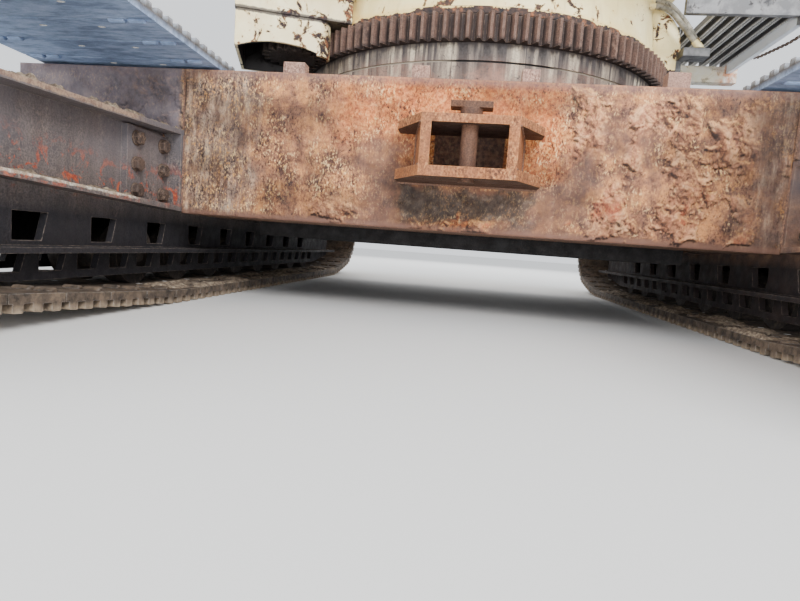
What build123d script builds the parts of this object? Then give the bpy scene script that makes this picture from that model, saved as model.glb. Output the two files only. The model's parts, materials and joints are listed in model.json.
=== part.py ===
from build123d import *
import math
import os

# Crawler undercarriage with its slewing ring and the revolving bed of a tracked pressure digger.
# Millimetres. The origin is on the ground midway between the tracks' ends, +X to the right, +Z up,
# and the end with the towing box faces -Y. The slewing axis stands behind the tracks' middle.
SLEW_Y = 420

# Track loop, measured outside the shoes: the ground run ends nearer the middle in front
SHOE_WIDTH = 800
TRACK_INNER = 1050
WHEEL_Y = 1930
WRAP_RADIUS = 470
WHEEL_RISE = 60
FRONT_FLAT = 930
REAR_FLAT = 1600
SHOE_COUNT = 56
BARS_PER_SHOE = 3
BAR_WIDTH = 33
BAR_HEIGHT = 23
PLATE_THICK = 27
SEAT_CLEAR = 0.3

# Side frames: two webs with flanges, lower and shallower in front of the front beam
WEB_X = 1260
WEB_THICK = 25
WEB_GAP = 330
FRAME_OVER = 100
FRAME_TOP = 690
FRAME_TOP_NOSE = 630
FRAME_BOTTOM = 95
FRAME_BOTTOM_END = 150
BOTTOM_FRONT = 1480
BOTTOM_REAR = 1600
LOW_FLANGE_Z = 356
LOW_FLANGE_NOSE = 400
FLANGE_THICK = 20
FLANGE_REACH = 80
LEDGE_Z = 182
LEDGE_THICK = 18
BOX_CLEAR = 40
POCKET_FIRST = -1480
POCKET_PITCH = 165
POCKET_COUNT = 19
POCKET_LENGTH = 115
POCKET_LOW = 122
POCKET_HIGH = 180
POCKET_SLANT = 20
WINDOW_FIRST = -1405
WINDOW_PITCH = 330
WINDOW_COUNT = 9
WINDOW_LENGTH = 135
WINDOW_LOW = 215
WINDOW_HIGH = 300
WINDOW_SLANT = 25
JOINT_STRIP = 20
JOINT_PLATE = 25
JOINT_LENGTH = 274
JOINT_LOW = 370
JOINT_HIGH = 650

# Rollers and end wheels
ROLLER_PITCH = 330
ROLLER_FIRST = -820
ROLLER_COUNT = 8
ROLLER_RADIUS = 118
ROLLER_WAIST = 92
ROLLER_TREAD = 80
ROLLER_END = 20
AXLE_RADIUS = 30
WAIST_TAPER = 15
CARRIER_Y = 450
CARRIER_RADIUS = 95
CARRIER_WIDTH = 230
CARRIER_BRACKET = 20
CARRIER_END = 12
CARRIER_TREAD = 70
CARRIER_FOOT = 120
BRACKET_OVER = 30
RIM_WIDTH = 290
RIM_DEPTH = 70
WHEEL_WEB = 60
TUMBLER_WEB = 120
HUB_RADIUS = 120
HUB_FLARE = 45
HUB_COLLAR = 50
TUMBLER_TEETH = 14
NOTCH_LENGTH = 60
NOTCH_WIDTH = 40
CAP_RADIUS = 80
CAP_THICK = 35

# Drives at the rear
DRIVE_RADIUS = 190
DRIVE_LENGTH = 190
DRIVE_CHAMFER = 30
MOTOR_RADIUS = 105
MOTOR_LENGTH = 180

# Cross beams and the centre of the car body
BEAM_FACE = 1116
BEAM_DEPTH = 350
BEAM_TOP = 938
BEAM_BOTTOM = 350
ARM_END = 1930
BOX_X = 970
BOX_BOTTOM = 285
CENTRE_HOLE = 200
SWIVEL_RADIUS = 120
SWIVEL_RISE = 40
SWIVEL_FLANGE = 30

# Slewing ring gear, drum and swing pinion
GEAR_MODULE = 15
RING_TEETH = 132
PINION_TEETH = 17
PRESSURE_ANGLE = 20
BACKLASH = 4
TOOTH_LOW = 1136
TOOTH_HIGH = 1243
RING_BORE = 850
DRUM_INSET = 16
GROOVE_Z = 1061
GROOVE_WIDTH = 8
GROOVE_DEPTH = 8
MESH_TOOTH = 80
PINION_LENGTH = 115
PINION_SHAFT = 55

# Towing box and its pin
TOW_REACH = 240
TOW_MOUTH_HALF = 135
TOW_MOUTH_LOW = 571
TOW_MOUTH_HIGH = 721
TOW_LOW_PLATE = 38
TOW_HIGH_PLATE = 30
TOW_FRONT_HALF = 172
TOW_BACK_HALF = 275
TOW_PIN_RADIUS = 30
TOW_PIN_REACH = 184
TOW_PIN_BELOW = 12
TOW_COLLAR_RADIUS = 40
TOW_COLLAR = 30
TOW_BAR_LENGTH = 150
TOW_BAR_WIDTH = 60
TOW_BAR_THICK = 22

# Square lugs on the beams: middle X, width, height
LUG_COLUMNS = (
    (-732, 88, 50),
    (-215, 71, 55),
    (215, 67, 55),
    (760, 81, 63),
)
LUG_DEPTH = 60
LUG_SETBACK = 25

# Conical skirt over the gear, with a rim at its foot
RACE_INSET = 6
RACE_STEP = 5
RIM_TOP = 1277
SKIRT_FOOT_RADIUS = 940
SKIRT_TAPER = 40

# Revolving bed, a little wider than the skirt's foot, its Y measured from the slewing axis
BED_BOTTOM = 1600
BED_PLATE = 30
BED_OVER = 10
BED_FRONT = 1150
BED_REAR = 1850
BED_CORNER = 200
BED_BULGE = 190
GIRDER_X = 430
GIRDER_THICK = 40
GIRDER_TOP = 1930
CROSS_YS = (-700, 250, 1200)
CROSS_THICK = 30
FOOT_BORE = 110
FOOT_Z = 1800
FOOT_RADIUS = 120
FOOT_BACK = 320
FOOT_THICK = 50

# Housing of the swing pinion and the guard under it, turned from the X axis,
# measured from the pinion's axis
HOUSING_TURN = 18.2
HOUSING_FRONT = 191
HOUSING_LEFT = 253
HOUSING_RIGHT = 258
HOUSING_ABOVE = 15
GUARD_LEFT = 249
GUARD_RIGHT = 167
GUARD_BOTTOM = 1100
GUARD_ARCH = 35
GUARD_LIP = 10
GUARD_WALL = 14
GUARD_ROUND = 60
GUARD_CLEAR = 15
GUARD_SEAM = 8
SEAM_DEPTH = 6
GEARBOX_RADIUS = 165
GEARBOX_HEIGHT = 300
GEARBOX_CHAMFER = 20
SWING_MOTOR_RADIUS = 95
SWING_MOTOR_HEIGHT = 220

# Hose bracket on the skirt's right: its curved outer edge and its holes as X beyond the skirt's foot, Z
BRACKET_Y = -300
BRACKET_THICK = 16
BRACKET_FROM = -120
BRACKET_BOTTOM = 1252
BRACKET_FOOT = (80, 1271)
BRACKET_EDGE = (
    (62, 1417),
    (41, 1475),
    (-10, 1536),
    (-75, 1559),
)
BRACKET_HOLES = (
    (-49, 1487),
    (4, 1303),
)
BRACKET_HOLE_RADIUS = 6
BLOCK_FROM = 55
BLOCK_TO = 180
BLOCK_REACH = 82
BLOCK_LOW = 1310
BLOCK_HIGH = 1350

# Hoses from the skirt's flank to the block: X beyond the skirt's foot, Y from the slewing axis, Z,
# then a radius for each corner
HOSE_RADIUS = 12.5
FITTING_RADIUS = 16
FITTING_LENGTH = 80
STUB_LENGTH = 40
LOW_HOSE = (
    (-112, -410, 1529),
    (-43, -384, 1544),
    (105, -375, 1386),
)
LOW_HOSE_RADII = (125,)
HIGH_HOSE = (
    (-94, -345, 1581),
    (-30, -345, 1581),
    (68, -345, 1483),
    (120, -345, 1405),
)
HIGH_HOSE_RADII = (125, 300)

# Walkway on the right, its Y measured from the slewing axis
WALK_FRONT = -555
WALK_FACE = 25
WALK_FACE_LOW = 1440
WALK_FACE_HIGH = 1510
WALK_REAR = 160
WALK_ARM = 60
WALK_ARM_LOW = 1360
WALK_END = 1490
WALK_TO = 1450
WALK_EDGE = 25
WALK_EDGE_LOW = 1410
HANGER = 20
PLANK_BOTTOM = 1450
PLANK_HEIGHT = 40
PLANK_COUNT = 8
PLANK_GAP = 12
PLANK_MARGIN = 10
SHORT_PLANKS = 2
SHORT_PLANK_FRONT = -280
EYE_WIDTH = 30
EYE_REAR_TOP = 1475
EYE_FRONT_LOW = 1380

# Chain along the walkway's outer side: Y from the slewing axis, Z
CHAIN_X = 1475
CHAIN_WIDTH = 22
CHAIN_LINE = (
    (-530, 1392),
    (-462, 1384),
    (-382, 1386),
    (-250, 1400),
    (-105, 1416),
    (40, 1455),
    (160, 1458),
)

WHEEL_Z = WRAP_RADIUS + WHEEL_RISE
SHOE_THICK = BAR_HEIGHT + PLATE_THICK
CHORD_RADIUS = WRAP_RADIUS - SHOE_THICK
LOOP_TOP = WHEEL_Z + WRAP_RADIUS
TRACK_MIDDLE = TRACK_INNER + SHOE_WIDTH / 2
WEB_INSIDE = WEB_X + WEB_THICK
OUTER_WEB = WEB_INSIDE + WEB_GAP
OUTER_FACE = OUTER_WEB + WEB_THICK
FRAME_MIDDLE = WEB_INSIDE + WEB_GAP / 2
FRAME_HALF = WHEEL_Y + FRAME_OVER
BED_HALF = SKIRT_FOOT_RADIUS + BED_OVER
BOX_HALF = WHEEL_Y - CHORD_RADIUS - BOX_CLEAR
BEAM_HALF = WEB_X - FLANGE_REACH
FRONT_FACE_Y = SLEW_Y - BEAM_FACE
DEDENDUM = 1.25 * GEAR_MODULE
PITCH_RADIUS = GEAR_MODULE * RING_TEETH / 2
PINION_PITCH = GEAR_MODULE * PINION_TEETH / 2
MESH_ANGLE = MESH_TOOTH * 360 / RING_TEETH
PINION_X = (PITCH_RADIUS + PINION_PITCH) * math.cos(math.radians(MESH_ANGLE))
PINION_Y = SLEW_Y + (PITCH_RADIUS + PINION_PITCH) * math.sin(math.radians(MESH_ANGLE))
PINION_ROOM = PINION_PITCH + GEAR_MODULE + GUARD_CLEAR
TIP_RADIUS = PITCH_RADIUS + GEAR_MODULE
ROOT_RADIUS = PITCH_RADIUS - DEDENDUM
RACE_BOTTOM = TOOTH_HIGH + SEAT_CLEAR
RACE_RADIUS = ROOT_RADIUS - RACE_INSET
BED_TOP = BED_BOTTOM + BED_PLATE
HOUSING_LOW = TOOTH_HIGH + HOUSING_ABOVE
HOUSING_BACK = PINION_ROOM + GUARD_WALL


def finish(part, name):
    part.label = name
    export_step(part, f"parts/{name}.step")


def box_between(x0, x1, y0, y1, z0, z1, mode=Mode.ADD):
    with Locations(((x0 + x1) / 2, (y0 + y1) / 2, (z0 + z1) / 2)):
        Box(abs(x1 - x0), abs(y1 - y0), abs(z1 - z0), mode=mode)


def rise(flat):
    """Length and angle of the run that rises from the end of the flat to the wheel."""
    ahead = WHEEL_Y - flat
    reach = math.hypot(ahead, WHEEL_Z)
    length = math.sqrt(reach**2 - WRAP_RADIUS**2)
    return length, math.atan2(WHEEL_Z, ahead) - math.asin(WRAP_RADIUS / reach)


def half_length(flat):
    length, angle = rise(flat)
    return flat + length + WRAP_RADIUS * (math.pi - angle) + WHEEL_Y


def half_point(s, depth, flat):
    """A point of the half loop, s along its outside from the middle of the ground run, depth inwards."""
    length, angle = rise(flat)
    if s < flat:
        return s, depth
    s -= flat
    if s < length:
        along, up = math.cos(angle), math.sin(angle)
        return flat + s * along - depth * up, s * up + depth * along
    s -= length
    radius = WRAP_RADIUS - depth
    wrap = math.pi - angle
    if s < WRAP_RADIUS * wrap:
        turn = angle + s / WRAP_RADIUS
        return WHEEL_Y + radius * math.sin(turn), WHEEL_Z - radius * math.cos(turn)
    s -= WRAP_RADIUS * wrap
    return WHEEL_Y - s, LOOP_TOP - depth


REAR_LOOP = half_length(REAR_FLAT)
LOOP_LENGTH = REAR_LOOP + half_length(FRONT_FLAT)
SHOE_PITCH = LOOP_LENGTH / SHOE_COUNT


def loop_point(s, depth):
    s %= LOOP_LENGTH
    if s < REAR_LOOP:
        return half_point(s, depth, REAR_FLAT)
    y, z = half_point(LOOP_LENGTH - s, depth, FRONT_FLAT)
    return -y, z


def bar_points():
    """The shoes' outside: three square bars a shoe, evenly spaced."""
    pitch = SHOE_PITCH / BARS_PER_SHOE
    points = []
    for bar in range(SHOE_COUNT * BARS_PER_SHOE):
        start = (bar + 0.5) * pitch - BAR_WIDTH / 2
        points.append(loop_point(start, BAR_HEIGHT))
        points.append(loop_point(start, 0))
        points.append(loop_point(start + BAR_WIDTH, 0))
        points.append(loop_point(start + BAR_WIDTH, BAR_HEIGHT))
    return points


def inside_points(depth):
    """The shoes' inside, flat from joint to joint, with a corner at each end of the ground run."""
    corners = []
    for s, flat, sign in ((REAR_FLAT, REAR_FLAT, 1), (LOOP_LENGTH - FRONT_FLAT, FRONT_FLAT, -1)):
        room = depth * math.tan(rise(flat)[1] / 2)
        corners.append((s, (sign * (flat - room), depth), room))
    rows = [(s, point) for s, point, room in corners]
    for shoe in range(SHOE_COUNT):
        s = shoe * SHOE_PITCH
        if all(abs(s - corner) > room for corner, point, room in corners):
            rows.append((s, loop_point(s, depth)))
    return [point for s, point in sorted(rows)]


def make_track(side, name):
    with BuildPart() as track:
        with BuildSketch(Plane.YZ.offset(side * TRACK_MIDDLE)):
            with BuildLine():
                Polyline(*bar_points(), close=True)
            make_face()
            with BuildLine():
                Polyline(*inside_points(SHOE_THICK), close=True)
            make_face(mode=Mode.SUBTRACT)
        extrude(amount=SHOE_WIDTH / 2, both=True)
    finish(track.part, name)


# The inside of the loop is flat from joint to joint, so the wheels are this much smaller
SEAT_RADIUS = CHORD_RADIUS * math.cos(SHOE_PITCH / WRAP_RADIUS / 2) - SEAT_CLEAR


def nose_share(y):
    """0 from the front beam backwards, 1 at the side frame's nose."""
    return max(0, (FRONT_FACE_Y - y) / (FRONT_FACE_Y + FRAME_HALF))


def top_z(y):
    return FRAME_TOP + (FRAME_TOP_NOSE - FRAME_TOP) * nose_share(y)


def low_z(y):
    return LOW_FLANGE_Z + (LOW_FLANGE_NOSE - LOW_FLANGE_Z) * nose_share(y)


def side_line(height, half, shift=0):
    """The line of a height along the side frame, from front to rear."""
    return [(y, height(y) + shift) for y in (-half, FRONT_FACE_Y, half)]


def side_face(x, low, high):
    """A face seen from the side between two lines that both run from front to rear."""
    with BuildSketch(Plane.YZ.offset(x)) as section:
        with BuildLine():
            Polyline(*low, *reversed(high), close=True)
        make_face()
    return section.sketch


def hole_row(x, first, pitch, count, length, low, high, slant):
    """A row of four-sided holes seen from the side, each with its rear side leaning."""
    with BuildSketch(Plane.YZ.offset(x)) as section:
        for k in range(count):
            start = first + k * pitch - length / 2
            end = start + length
            with BuildLine():
                Polyline((start, low), (end - slant, low), (end, high), (start, high), close=True)
            make_face()
    return section.sketch


def add_beam_joints(side):
    """Strips before and behind each beam's end, and the bolted plate beyond the beam."""
    low = LOW_FLANGE_Z + FLANGE_THICK
    high = FRAME_TOP - FLANGE_THICK
    for end in (-1, 1):
        near = SLEW_Y + end * (BEAM_FACE - BEAM_DEPTH)
        far = SLEW_Y + end * BEAM_FACE
        plate = far + end * JOINT_STRIP
        x0, x1 = side * BEAM_HALF, side * WEB_X
        box_between(x0, x1, near - end * JOINT_STRIP, near, low, high)
        box_between(x0, x1, far, plate, low, high)
        box_between(x1 - side * JOINT_PLATE, x1, plate, plate + end * JOINT_LENGTH, JOINT_LOW, JOINT_HIGH)


def add_carrier_brackets(side):
    high = LOOP_TOP - SHOE_THICK - CARRIER_RADIUS + BRACKET_OVER
    for y in (SLEW_Y - CARRIER_Y, SLEW_Y + CARRIER_Y):
        for edge in (-CARRIER_WIDTH / 2 - CARRIER_BRACKET, CARRIER_WIDTH / 2):
            x0 = side * (FRAME_MIDDLE + edge)
            x1 = x0 + side * CARRIER_BRACKET
            box_between(x0, x1, y - CARRIER_FOOT / 2, y + CARRIER_FOOT / 2, FRAME_TOP, high)


def make_side_frame(side, name):
    bottom = (
        (-FRAME_HALF, FRAME_BOTTOM_END),
        (-BOTTOM_FRONT, FRAME_BOTTOM),
        (BOTTOM_REAR, FRAME_BOTTOM),
        (FRAME_HALF, FRAME_BOTTOM_END),
    )
    through = side * (WEB_GAP + 2 * WEB_THICK)
    with BuildPart() as frame:
        for x in (WEB_X, OUTER_WEB):
            extrude(side_face(side * x, bottom, side_line(top_z, FRAME_HALF)), amount=side * WEB_THICK)
        core = side_face(side * WEB_INSIDE, side_line(low_z, BOX_HALF), side_line(top_z, BOX_HALF))
        extrude(core, amount=side * WEB_GAP)
        for x, out in ((WEB_X, -side), (OUTER_FACE, side)):
            for height, drop in ((low_z, 0), (top_z, FLANGE_THICK)):
                under = side_line(height, FRAME_HALF, -drop)
                over = side_line(height, FRAME_HALF, FLANGE_THICK - drop)
                extrude(side_face(side * x, under, over), amount=out * FLANGE_REACH)
            edge = side * x + out * FLANGE_REACH
            box_between(side * x, edge, -FRAME_HALF, FRAME_HALF, LEDGE_Z, LEDGE_Z + LEDGE_THICK)
        pockets = hole_row(
            side * WEB_X,
            POCKET_FIRST,
            POCKET_PITCH,
            POCKET_COUNT,
            POCKET_LENGTH,
            POCKET_LOW,
            POCKET_HIGH,
            POCKET_SLANT,
        )
        extrude(pockets, amount=through, mode=Mode.SUBTRACT)
        windows = hole_row(
            side * WEB_X,
            WINDOW_FIRST,
            WINDOW_PITCH,
            WINDOW_COUNT,
            WINDOW_LENGTH,
            WINDOW_LOW,
            WINDOW_HIGH,
            WINDOW_SLANT,
        )
        extrude(windows, amount=side * WEB_THICK, mode=Mode.SUBTRACT)
        add_beam_joints(side)
        with Locations(Plane.YZ.offset(side * (WEB_X - FLANGE_REACH / 2))):
            with Locations((WHEEL_Y, WHEEL_Z)):
                Cylinder(DRIVE_RADIUS, FLANGE_REACH, mode=Mode.SUBTRACT)
        add_carrier_brackets(side)
    finish(frame.part, name)


def spool(half_width, rows, x, y, z):
    """Half the section of a body of revolution about X: rows are (distance from middle, radius)."""
    with BuildSketch(Plane.XY.offset(z)) as section:
        with BuildLine():
            points = [(x - half_width, y)]
            points += [(x - d, y + r) for d, r in rows]
            points += [(x + d, y + r) for d, r in reversed(rows)]
            points.append((x + half_width, y))
            Polyline(*points, close=True)
        make_face()
    return section.sketch


def turn_spool(half_width, rows, x, y, z):
    revolve(spool(half_width, rows, x, y, z), axis=Axis((x, y, z), (1, 0, 0)))


def make_rollers(side, name):
    half = WEB_GAP / 2
    z = SHOE_THICK + ROLLER_RADIUS + SEAT_CLEAR
    rows = (
        (half, AXLE_RADIUS),
        (half - ROLLER_END, AXLE_RADIUS),
        (half - ROLLER_END, ROLLER_RADIUS),
        (half - ROLLER_END - ROLLER_TREAD, ROLLER_RADIUS),
        (half - ROLLER_END - ROLLER_TREAD - WAIST_TAPER, ROLLER_WAIST),
    )
    with BuildPart() as rollers:
        for k in range(ROLLER_COUNT):
            turn_spool(half, rows, side * FRAME_MIDDLE, ROLLER_FIRST + k * ROLLER_PITCH, z)
    finish(rollers.part, name)


def make_carriers(side, name):
    half = CARRIER_WIDTH / 2
    z = LOOP_TOP - SHOE_THICK - CARRIER_RADIUS - SEAT_CLEAR
    rows = (
        (half, AXLE_RADIUS),
        (half - CARRIER_END, AXLE_RADIUS),
        (half - CARRIER_END, CARRIER_RADIUS),
        (half - CARRIER_END - CARRIER_TREAD, CARRIER_RADIUS),
        (half - CARRIER_END - CARRIER_TREAD - WAIST_TAPER, CARRIER_RADIUS - WAIST_TAPER),
    )
    with BuildPart() as carriers:
        for y in (SLEW_Y - CARRIER_Y, SLEW_Y + CARRIER_Y):
            turn_spool(half, rows, side * FRAME_MIDDLE, y, z)
    finish(carriers.part, name)


def wheel_rows(web):
    return (
        (WEB_GAP / 2, HUB_RADIUS),
        (WEB_GAP / 2 - HUB_COLLAR, HUB_RADIUS),
        (web / 2, HUB_RADIUS + HUB_FLARE),
        (web / 2, SEAT_RADIUS - RIM_DEPTH),
        (RIM_WIDTH / 2, SEAT_RADIUS - RIM_DEPTH),
        (RIM_WIDTH / 2, SEAT_RADIUS),
    )


def make_idler(side, name):
    with BuildPart() as idler:
        turn_spool(WEB_GAP / 2, wheel_rows(WHEEL_WEB), side * FRAME_MIDDLE, -WHEEL_Y, WHEEL_Z)
    finish(idler.part, name)


def make_tumbler(side, name):
    with BuildPart() as tumbler:
        turn_spool(WEB_GAP / 2, wheel_rows(TUMBLER_WEB), side * FRAME_MIDDLE, WHEEL_Y, WHEEL_Z)
        middle = Plane(origin=(side * FRAME_MIDDLE, WHEEL_Y, WHEEL_Z), z_dir=(1, 0, 0))
        with BuildSketch(middle):
            with PolarLocations(SEAT_RADIUS, TUMBLER_TEETH):
                SlotOverall(NOTCH_LENGTH, NOTCH_WIDTH)
        extrude(amount=RIM_WIDTH / 2, both=True, mode=Mode.SUBTRACT)
    finish(tumbler.part, name)


def make_axle_caps(side, name):
    """The round caps outside the webs that hold the end wheels' axles."""
    with BuildPart() as caps:
        for y in (-WHEEL_Y, WHEEL_Y):
            with BuildSketch(Plane.YZ.offset(side * OUTER_FACE)):
                with Locations((y, WHEEL_Z)):
                    Circle(CAP_RADIUS)
            extrude(amount=side * CAP_THICK)
    finish(caps.part, name)


def make_final_drive(side, name):
    with BuildPart() as drive:
        with BuildSketch(Plane.YZ.offset(side * WEB_X)):
            with Locations((WHEEL_Y, WHEEL_Z)):
                Circle(DRIVE_RADIUS - SEAT_CLEAR)
        extrude(amount=-side * DRIVE_LENGTH)
        ends = drive.faces().filter_by(Axis.X).sort_by(Axis.X)
        chamfer((ends[0] if side > 0 else ends[-1]).edges(), DRIVE_CHAMFER)
    finish(drive.part, name)


def make_travel_motor(side, name):
    with BuildPart() as motor:
        with BuildSketch(Plane.YZ.offset(side * (WEB_X - DRIVE_LENGTH))):
            with Locations((WHEEL_Y, WHEEL_Z)):
                Circle(MOTOR_RADIUS)
        extrude(amount=-side * MOTOR_LENGTH)
    finish(motor.part, name)


def make_beam(end, name):
    face = SLEW_Y + end * BEAM_FACE
    back = SLEW_Y + end * (BEAM_FACE - BEAM_DEPTH)
    with BuildPart() as beam:
        box_between(-BEAM_HALF, BEAM_HALF, face, back, BEAM_BOTTOM, BEAM_TOP)
        box_between(-ARM_END, ARM_END, face, back, FRAME_TOP, BEAM_TOP)
    finish(beam.part, name)


def make_centre_box():
    inside = BEAM_FACE - BEAM_DEPTH
    with BuildPart() as centre_box:
        box_between(-BOX_X, BOX_X, SLEW_Y - inside, SLEW_Y + inside, BOX_BOTTOM, BEAM_TOP)
        with Locations((0, SLEW_Y, (BOX_BOTTOM + BEAM_TOP) / 2)):
            Cylinder(CENTRE_HOLE, BEAM_TOP - BOX_BOTTOM, mode=Mode.SUBTRACT)
    finish(centre_box.part, "centre_box")


def make_drum():
    radius = ROOT_RADIUS - DRUM_INSET
    with BuildPart() as drum:
        with BuildSketch(Plane((0, SLEW_Y, BEAM_TOP))):
            Circle(radius)
            Circle(CENTRE_HOLE, mode=Mode.SUBTRACT)
        extrude(amount=TOOTH_LOW - BEAM_TOP)
        with BuildSketch(Plane((0, SLEW_Y, TOOTH_LOW))):
            Circle(RING_BORE)
            Circle(CENTRE_HOLE, mode=Mode.SUBTRACT)
        extrude(amount=TOOTH_HIGH - TOOTH_LOW)
        with BuildSketch(Plane((0, SLEW_Y, GROOVE_Z - GROOVE_WIDTH / 2))):
            Circle(radius)
            Circle(radius - GROOVE_DEPTH, mode=Mode.SUBTRACT)
        extrude(amount=GROOVE_WIDTH, mode=Mode.SUBTRACT)
    finish(drum.part, "pedestal_drum")


def tooth_points(teeth, steps):
    """One tooth of an involute gear about angle 0, from its root to its tip and back."""
    pitch = GEAR_MODULE * teeth / 2
    base = pitch * math.cos(math.radians(PRESSURE_ANGLE))
    tip = pitch + GEAR_MODULE
    root = pitch - DEDENDUM
    half = (math.pi * GEAR_MODULE - BACKLASH) / 4 / pitch
    involute = math.tan(math.radians(PRESSURE_ANGLE)) - math.radians(PRESSURE_ANGLE)
    flank = []
    start = max(root, base)
    for k in range(steps + 1):
        radius = start + (tip - start) * k / steps
        slope = math.acos(min(1, base / radius))
        flank.append((radius, half + involute - (math.tan(slope) - slope)))
    if root < base:
        flank.insert(0, (root, flank[0][1]))
    left = [(r, -a) for r, a in flank]
    return left + flank[::-1]


def gear_outline(teeth, steps, turn):
    points = []
    for tooth in range(teeth):
        middle = turn + 2 * math.pi * tooth / teeth
        for radius, angle in tooth_points(teeth, steps):
            points.append((radius * math.cos(middle + angle), radius * math.sin(middle + angle)))
    return points


def make_ring_gear():
    with BuildPart() as ring:
        with BuildSketch(Plane((0, SLEW_Y, TOOTH_LOW))):
            with BuildLine():
                Polyline(*gear_outline(RING_TEETH, 2, 0), close=True)
            make_face()
            Circle(RING_BORE, mode=Mode.SUBTRACT)
        extrude(amount=TOOTH_HIGH - TOOTH_LOW)
    finish(ring.part, "ring_gear")


def make_pinion():
    low = (TOOTH_LOW + TOOTH_HIGH - PINION_LENGTH) / 2
    with BuildPart() as pinion:
        with BuildSketch(Plane((PINION_X, PINION_Y, low))):
            with BuildLine():
                Polyline(*gear_outline(PINION_TEETH, 3, math.radians(MESH_ANGLE)), close=True)
            make_face()
        extrude(amount=PINION_LENGTH)
        with BuildSketch(Plane((PINION_X, PINION_Y, low))):
            Circle(PINION_SHAFT)
        extrude(amount=BED_TOP - SEAT_CLEAR - low)
    finish(pinion.part, "swing_pinion")


def make_swivel():
    low = BOX_BOTTOM + SWIVEL_RISE
    with BuildPart() as swivel:
        with BuildSketch(Plane((0, SLEW_Y, low))):
            Circle(SWIVEL_RADIUS)
        extrude(amount=BED_TOP - low)
        with BuildSketch(Plane((0, SLEW_Y, low))):
            Circle(CENTRE_HOLE)
        extrude(amount=SWIVEL_FLANGE)
    finish(swivel.part, "centre_swivel")


def tow_plate(bottom):
    front = FRONT_FACE_Y - TOW_REACH
    shoulder = FRONT_FACE_Y - TOW_REACH / 3
    with BuildSketch(Plane.XY.offset(bottom)) as plate:
        with BuildLine():
            Polyline(
                (-TOW_BACK_HALF, FRONT_FACE_Y),
                (-TOW_BACK_HALF, shoulder),
                (-TOW_FRONT_HALF, front),
                (TOW_FRONT_HALF, front),
                (TOW_BACK_HALF, shoulder),
                (TOW_BACK_HALF, FRONT_FACE_Y),
                close=True,
            )
        make_face()
    return plate.sketch


def make_tow_box():
    wall = TOW_FRONT_HALF - TOW_MOUTH_HALF
    front = FRONT_FACE_Y - TOW_REACH
    low = TOW_MOUTH_LOW - TOW_LOW_PLATE
    high = TOW_MOUTH_HIGH + TOW_HIGH_PLATE
    with BuildPart() as tow_box:
        extrude(tow_plate(low), amount=TOW_LOW_PLATE)
        extrude(tow_plate(TOW_MOUTH_HIGH), amount=TOW_HIGH_PLATE)
        for side in (-1, 1):
            with BuildSketch(Plane.XY.offset(TOW_MOUTH_LOW)):
                with BuildLine():
                    Polyline(
                        (side * TOW_MOUTH_HALF, front),
                        (side * TOW_FRONT_HALF, front),
                        (side * (TOW_FRONT_HALF + wall), FRONT_FACE_Y),
                        (side * TOW_FRONT_HALF, FRONT_FACE_Y),
                        close=True,
                    )
                make_face()
            extrude(amount=TOW_MOUTH_HIGH - TOW_MOUTH_LOW)
        with Locations((0, FRONT_FACE_Y - TOW_PIN_REACH, (low + high) / 2)):
            Cylinder(TOW_PIN_RADIUS + SEAT_CLEAR, high - low, mode=Mode.SUBTRACT)
    finish(tow_box.part, "tow_box")


def make_tow_pin():
    """A pin with a round collar and a flat bar across its head."""
    y = FRONT_FACE_Y - TOW_PIN_REACH
    low = TOW_MOUTH_LOW - TOW_LOW_PLATE - TOW_PIN_BELOW
    high = TOW_MOUTH_HIGH + TOW_HIGH_PLATE
    with BuildPart() as tow_pin:
        with BuildSketch(Plane((0, y, low))):
            Circle(TOW_PIN_RADIUS)
        extrude(amount=high - low)
        with BuildSketch(Plane((0, y, high))):
            Circle(TOW_COLLAR_RADIUS)
        extrude(amount=TOW_COLLAR)
        with Locations((0, y, high + TOW_COLLAR + TOW_BAR_THICK / 2)):
            Box(TOW_BAR_LENGTH, TOW_BAR_WIDTH, TOW_BAR_THICK)
    finish(tow_pin.part, "tow_pin")


def make_lugs(end, name):
    with BuildPart() as lugs:
        for x, width, height in LUG_COLUMNS:
            y = SLEW_Y + end * (BEAM_FACE - LUG_SETBACK - LUG_DEPTH / 2)
            with Locations((-end * x, y, BEAM_TOP + height / 2)):
                Box(width, LUG_DEPTH, height)
    finish(lugs.part, name)


def turn_skirt(grow, mode):
    """The conical skirt, whose step runs on the drum and whose rim stands over the teeth."""
    rim_low = RACE_BOTTOM + RACE_STEP
    with BuildSketch(Plane.XZ.offset(-SLEW_Y)) as section:
        with BuildLine():
            Polyline(
                (CENTRE_HOLE, RACE_BOTTOM),
                (RING_BORE - RACE_STEP, RACE_BOTTOM),
                (RING_BORE - RACE_STEP, rim_low),
                (RACE_RADIUS + grow, rim_low),
                (RACE_RADIUS + grow, RIM_TOP + grow),
                (SKIRT_FOOT_RADIUS + grow, RIM_TOP + grow),
                (SKIRT_FOOT_RADIUS - SKIRT_TAPER + grow, BED_BOTTOM),
                (CENTRE_HOLE, BED_BOTTOM),
                close=True,
            )
        make_face()
    revolve(section.sketch, axis=Axis((0, SLEW_Y, 0), (0, 0, 1)), mode=mode)


def hose_points(route):
    return [Vector(SKIRT_FOOT_RADIUS + x, SLEW_Y + y, z) for x, y, z in route]


def add_fitting(start, away, length):
    """A round fitting that starts at a hose's end and goes on from it."""
    with BuildSketch(Plane(origin=start, z_dir=away)) as end_face:
        Circle(FITTING_RADIUS)
    extrude(end_face.sketch, amount=length)


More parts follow.
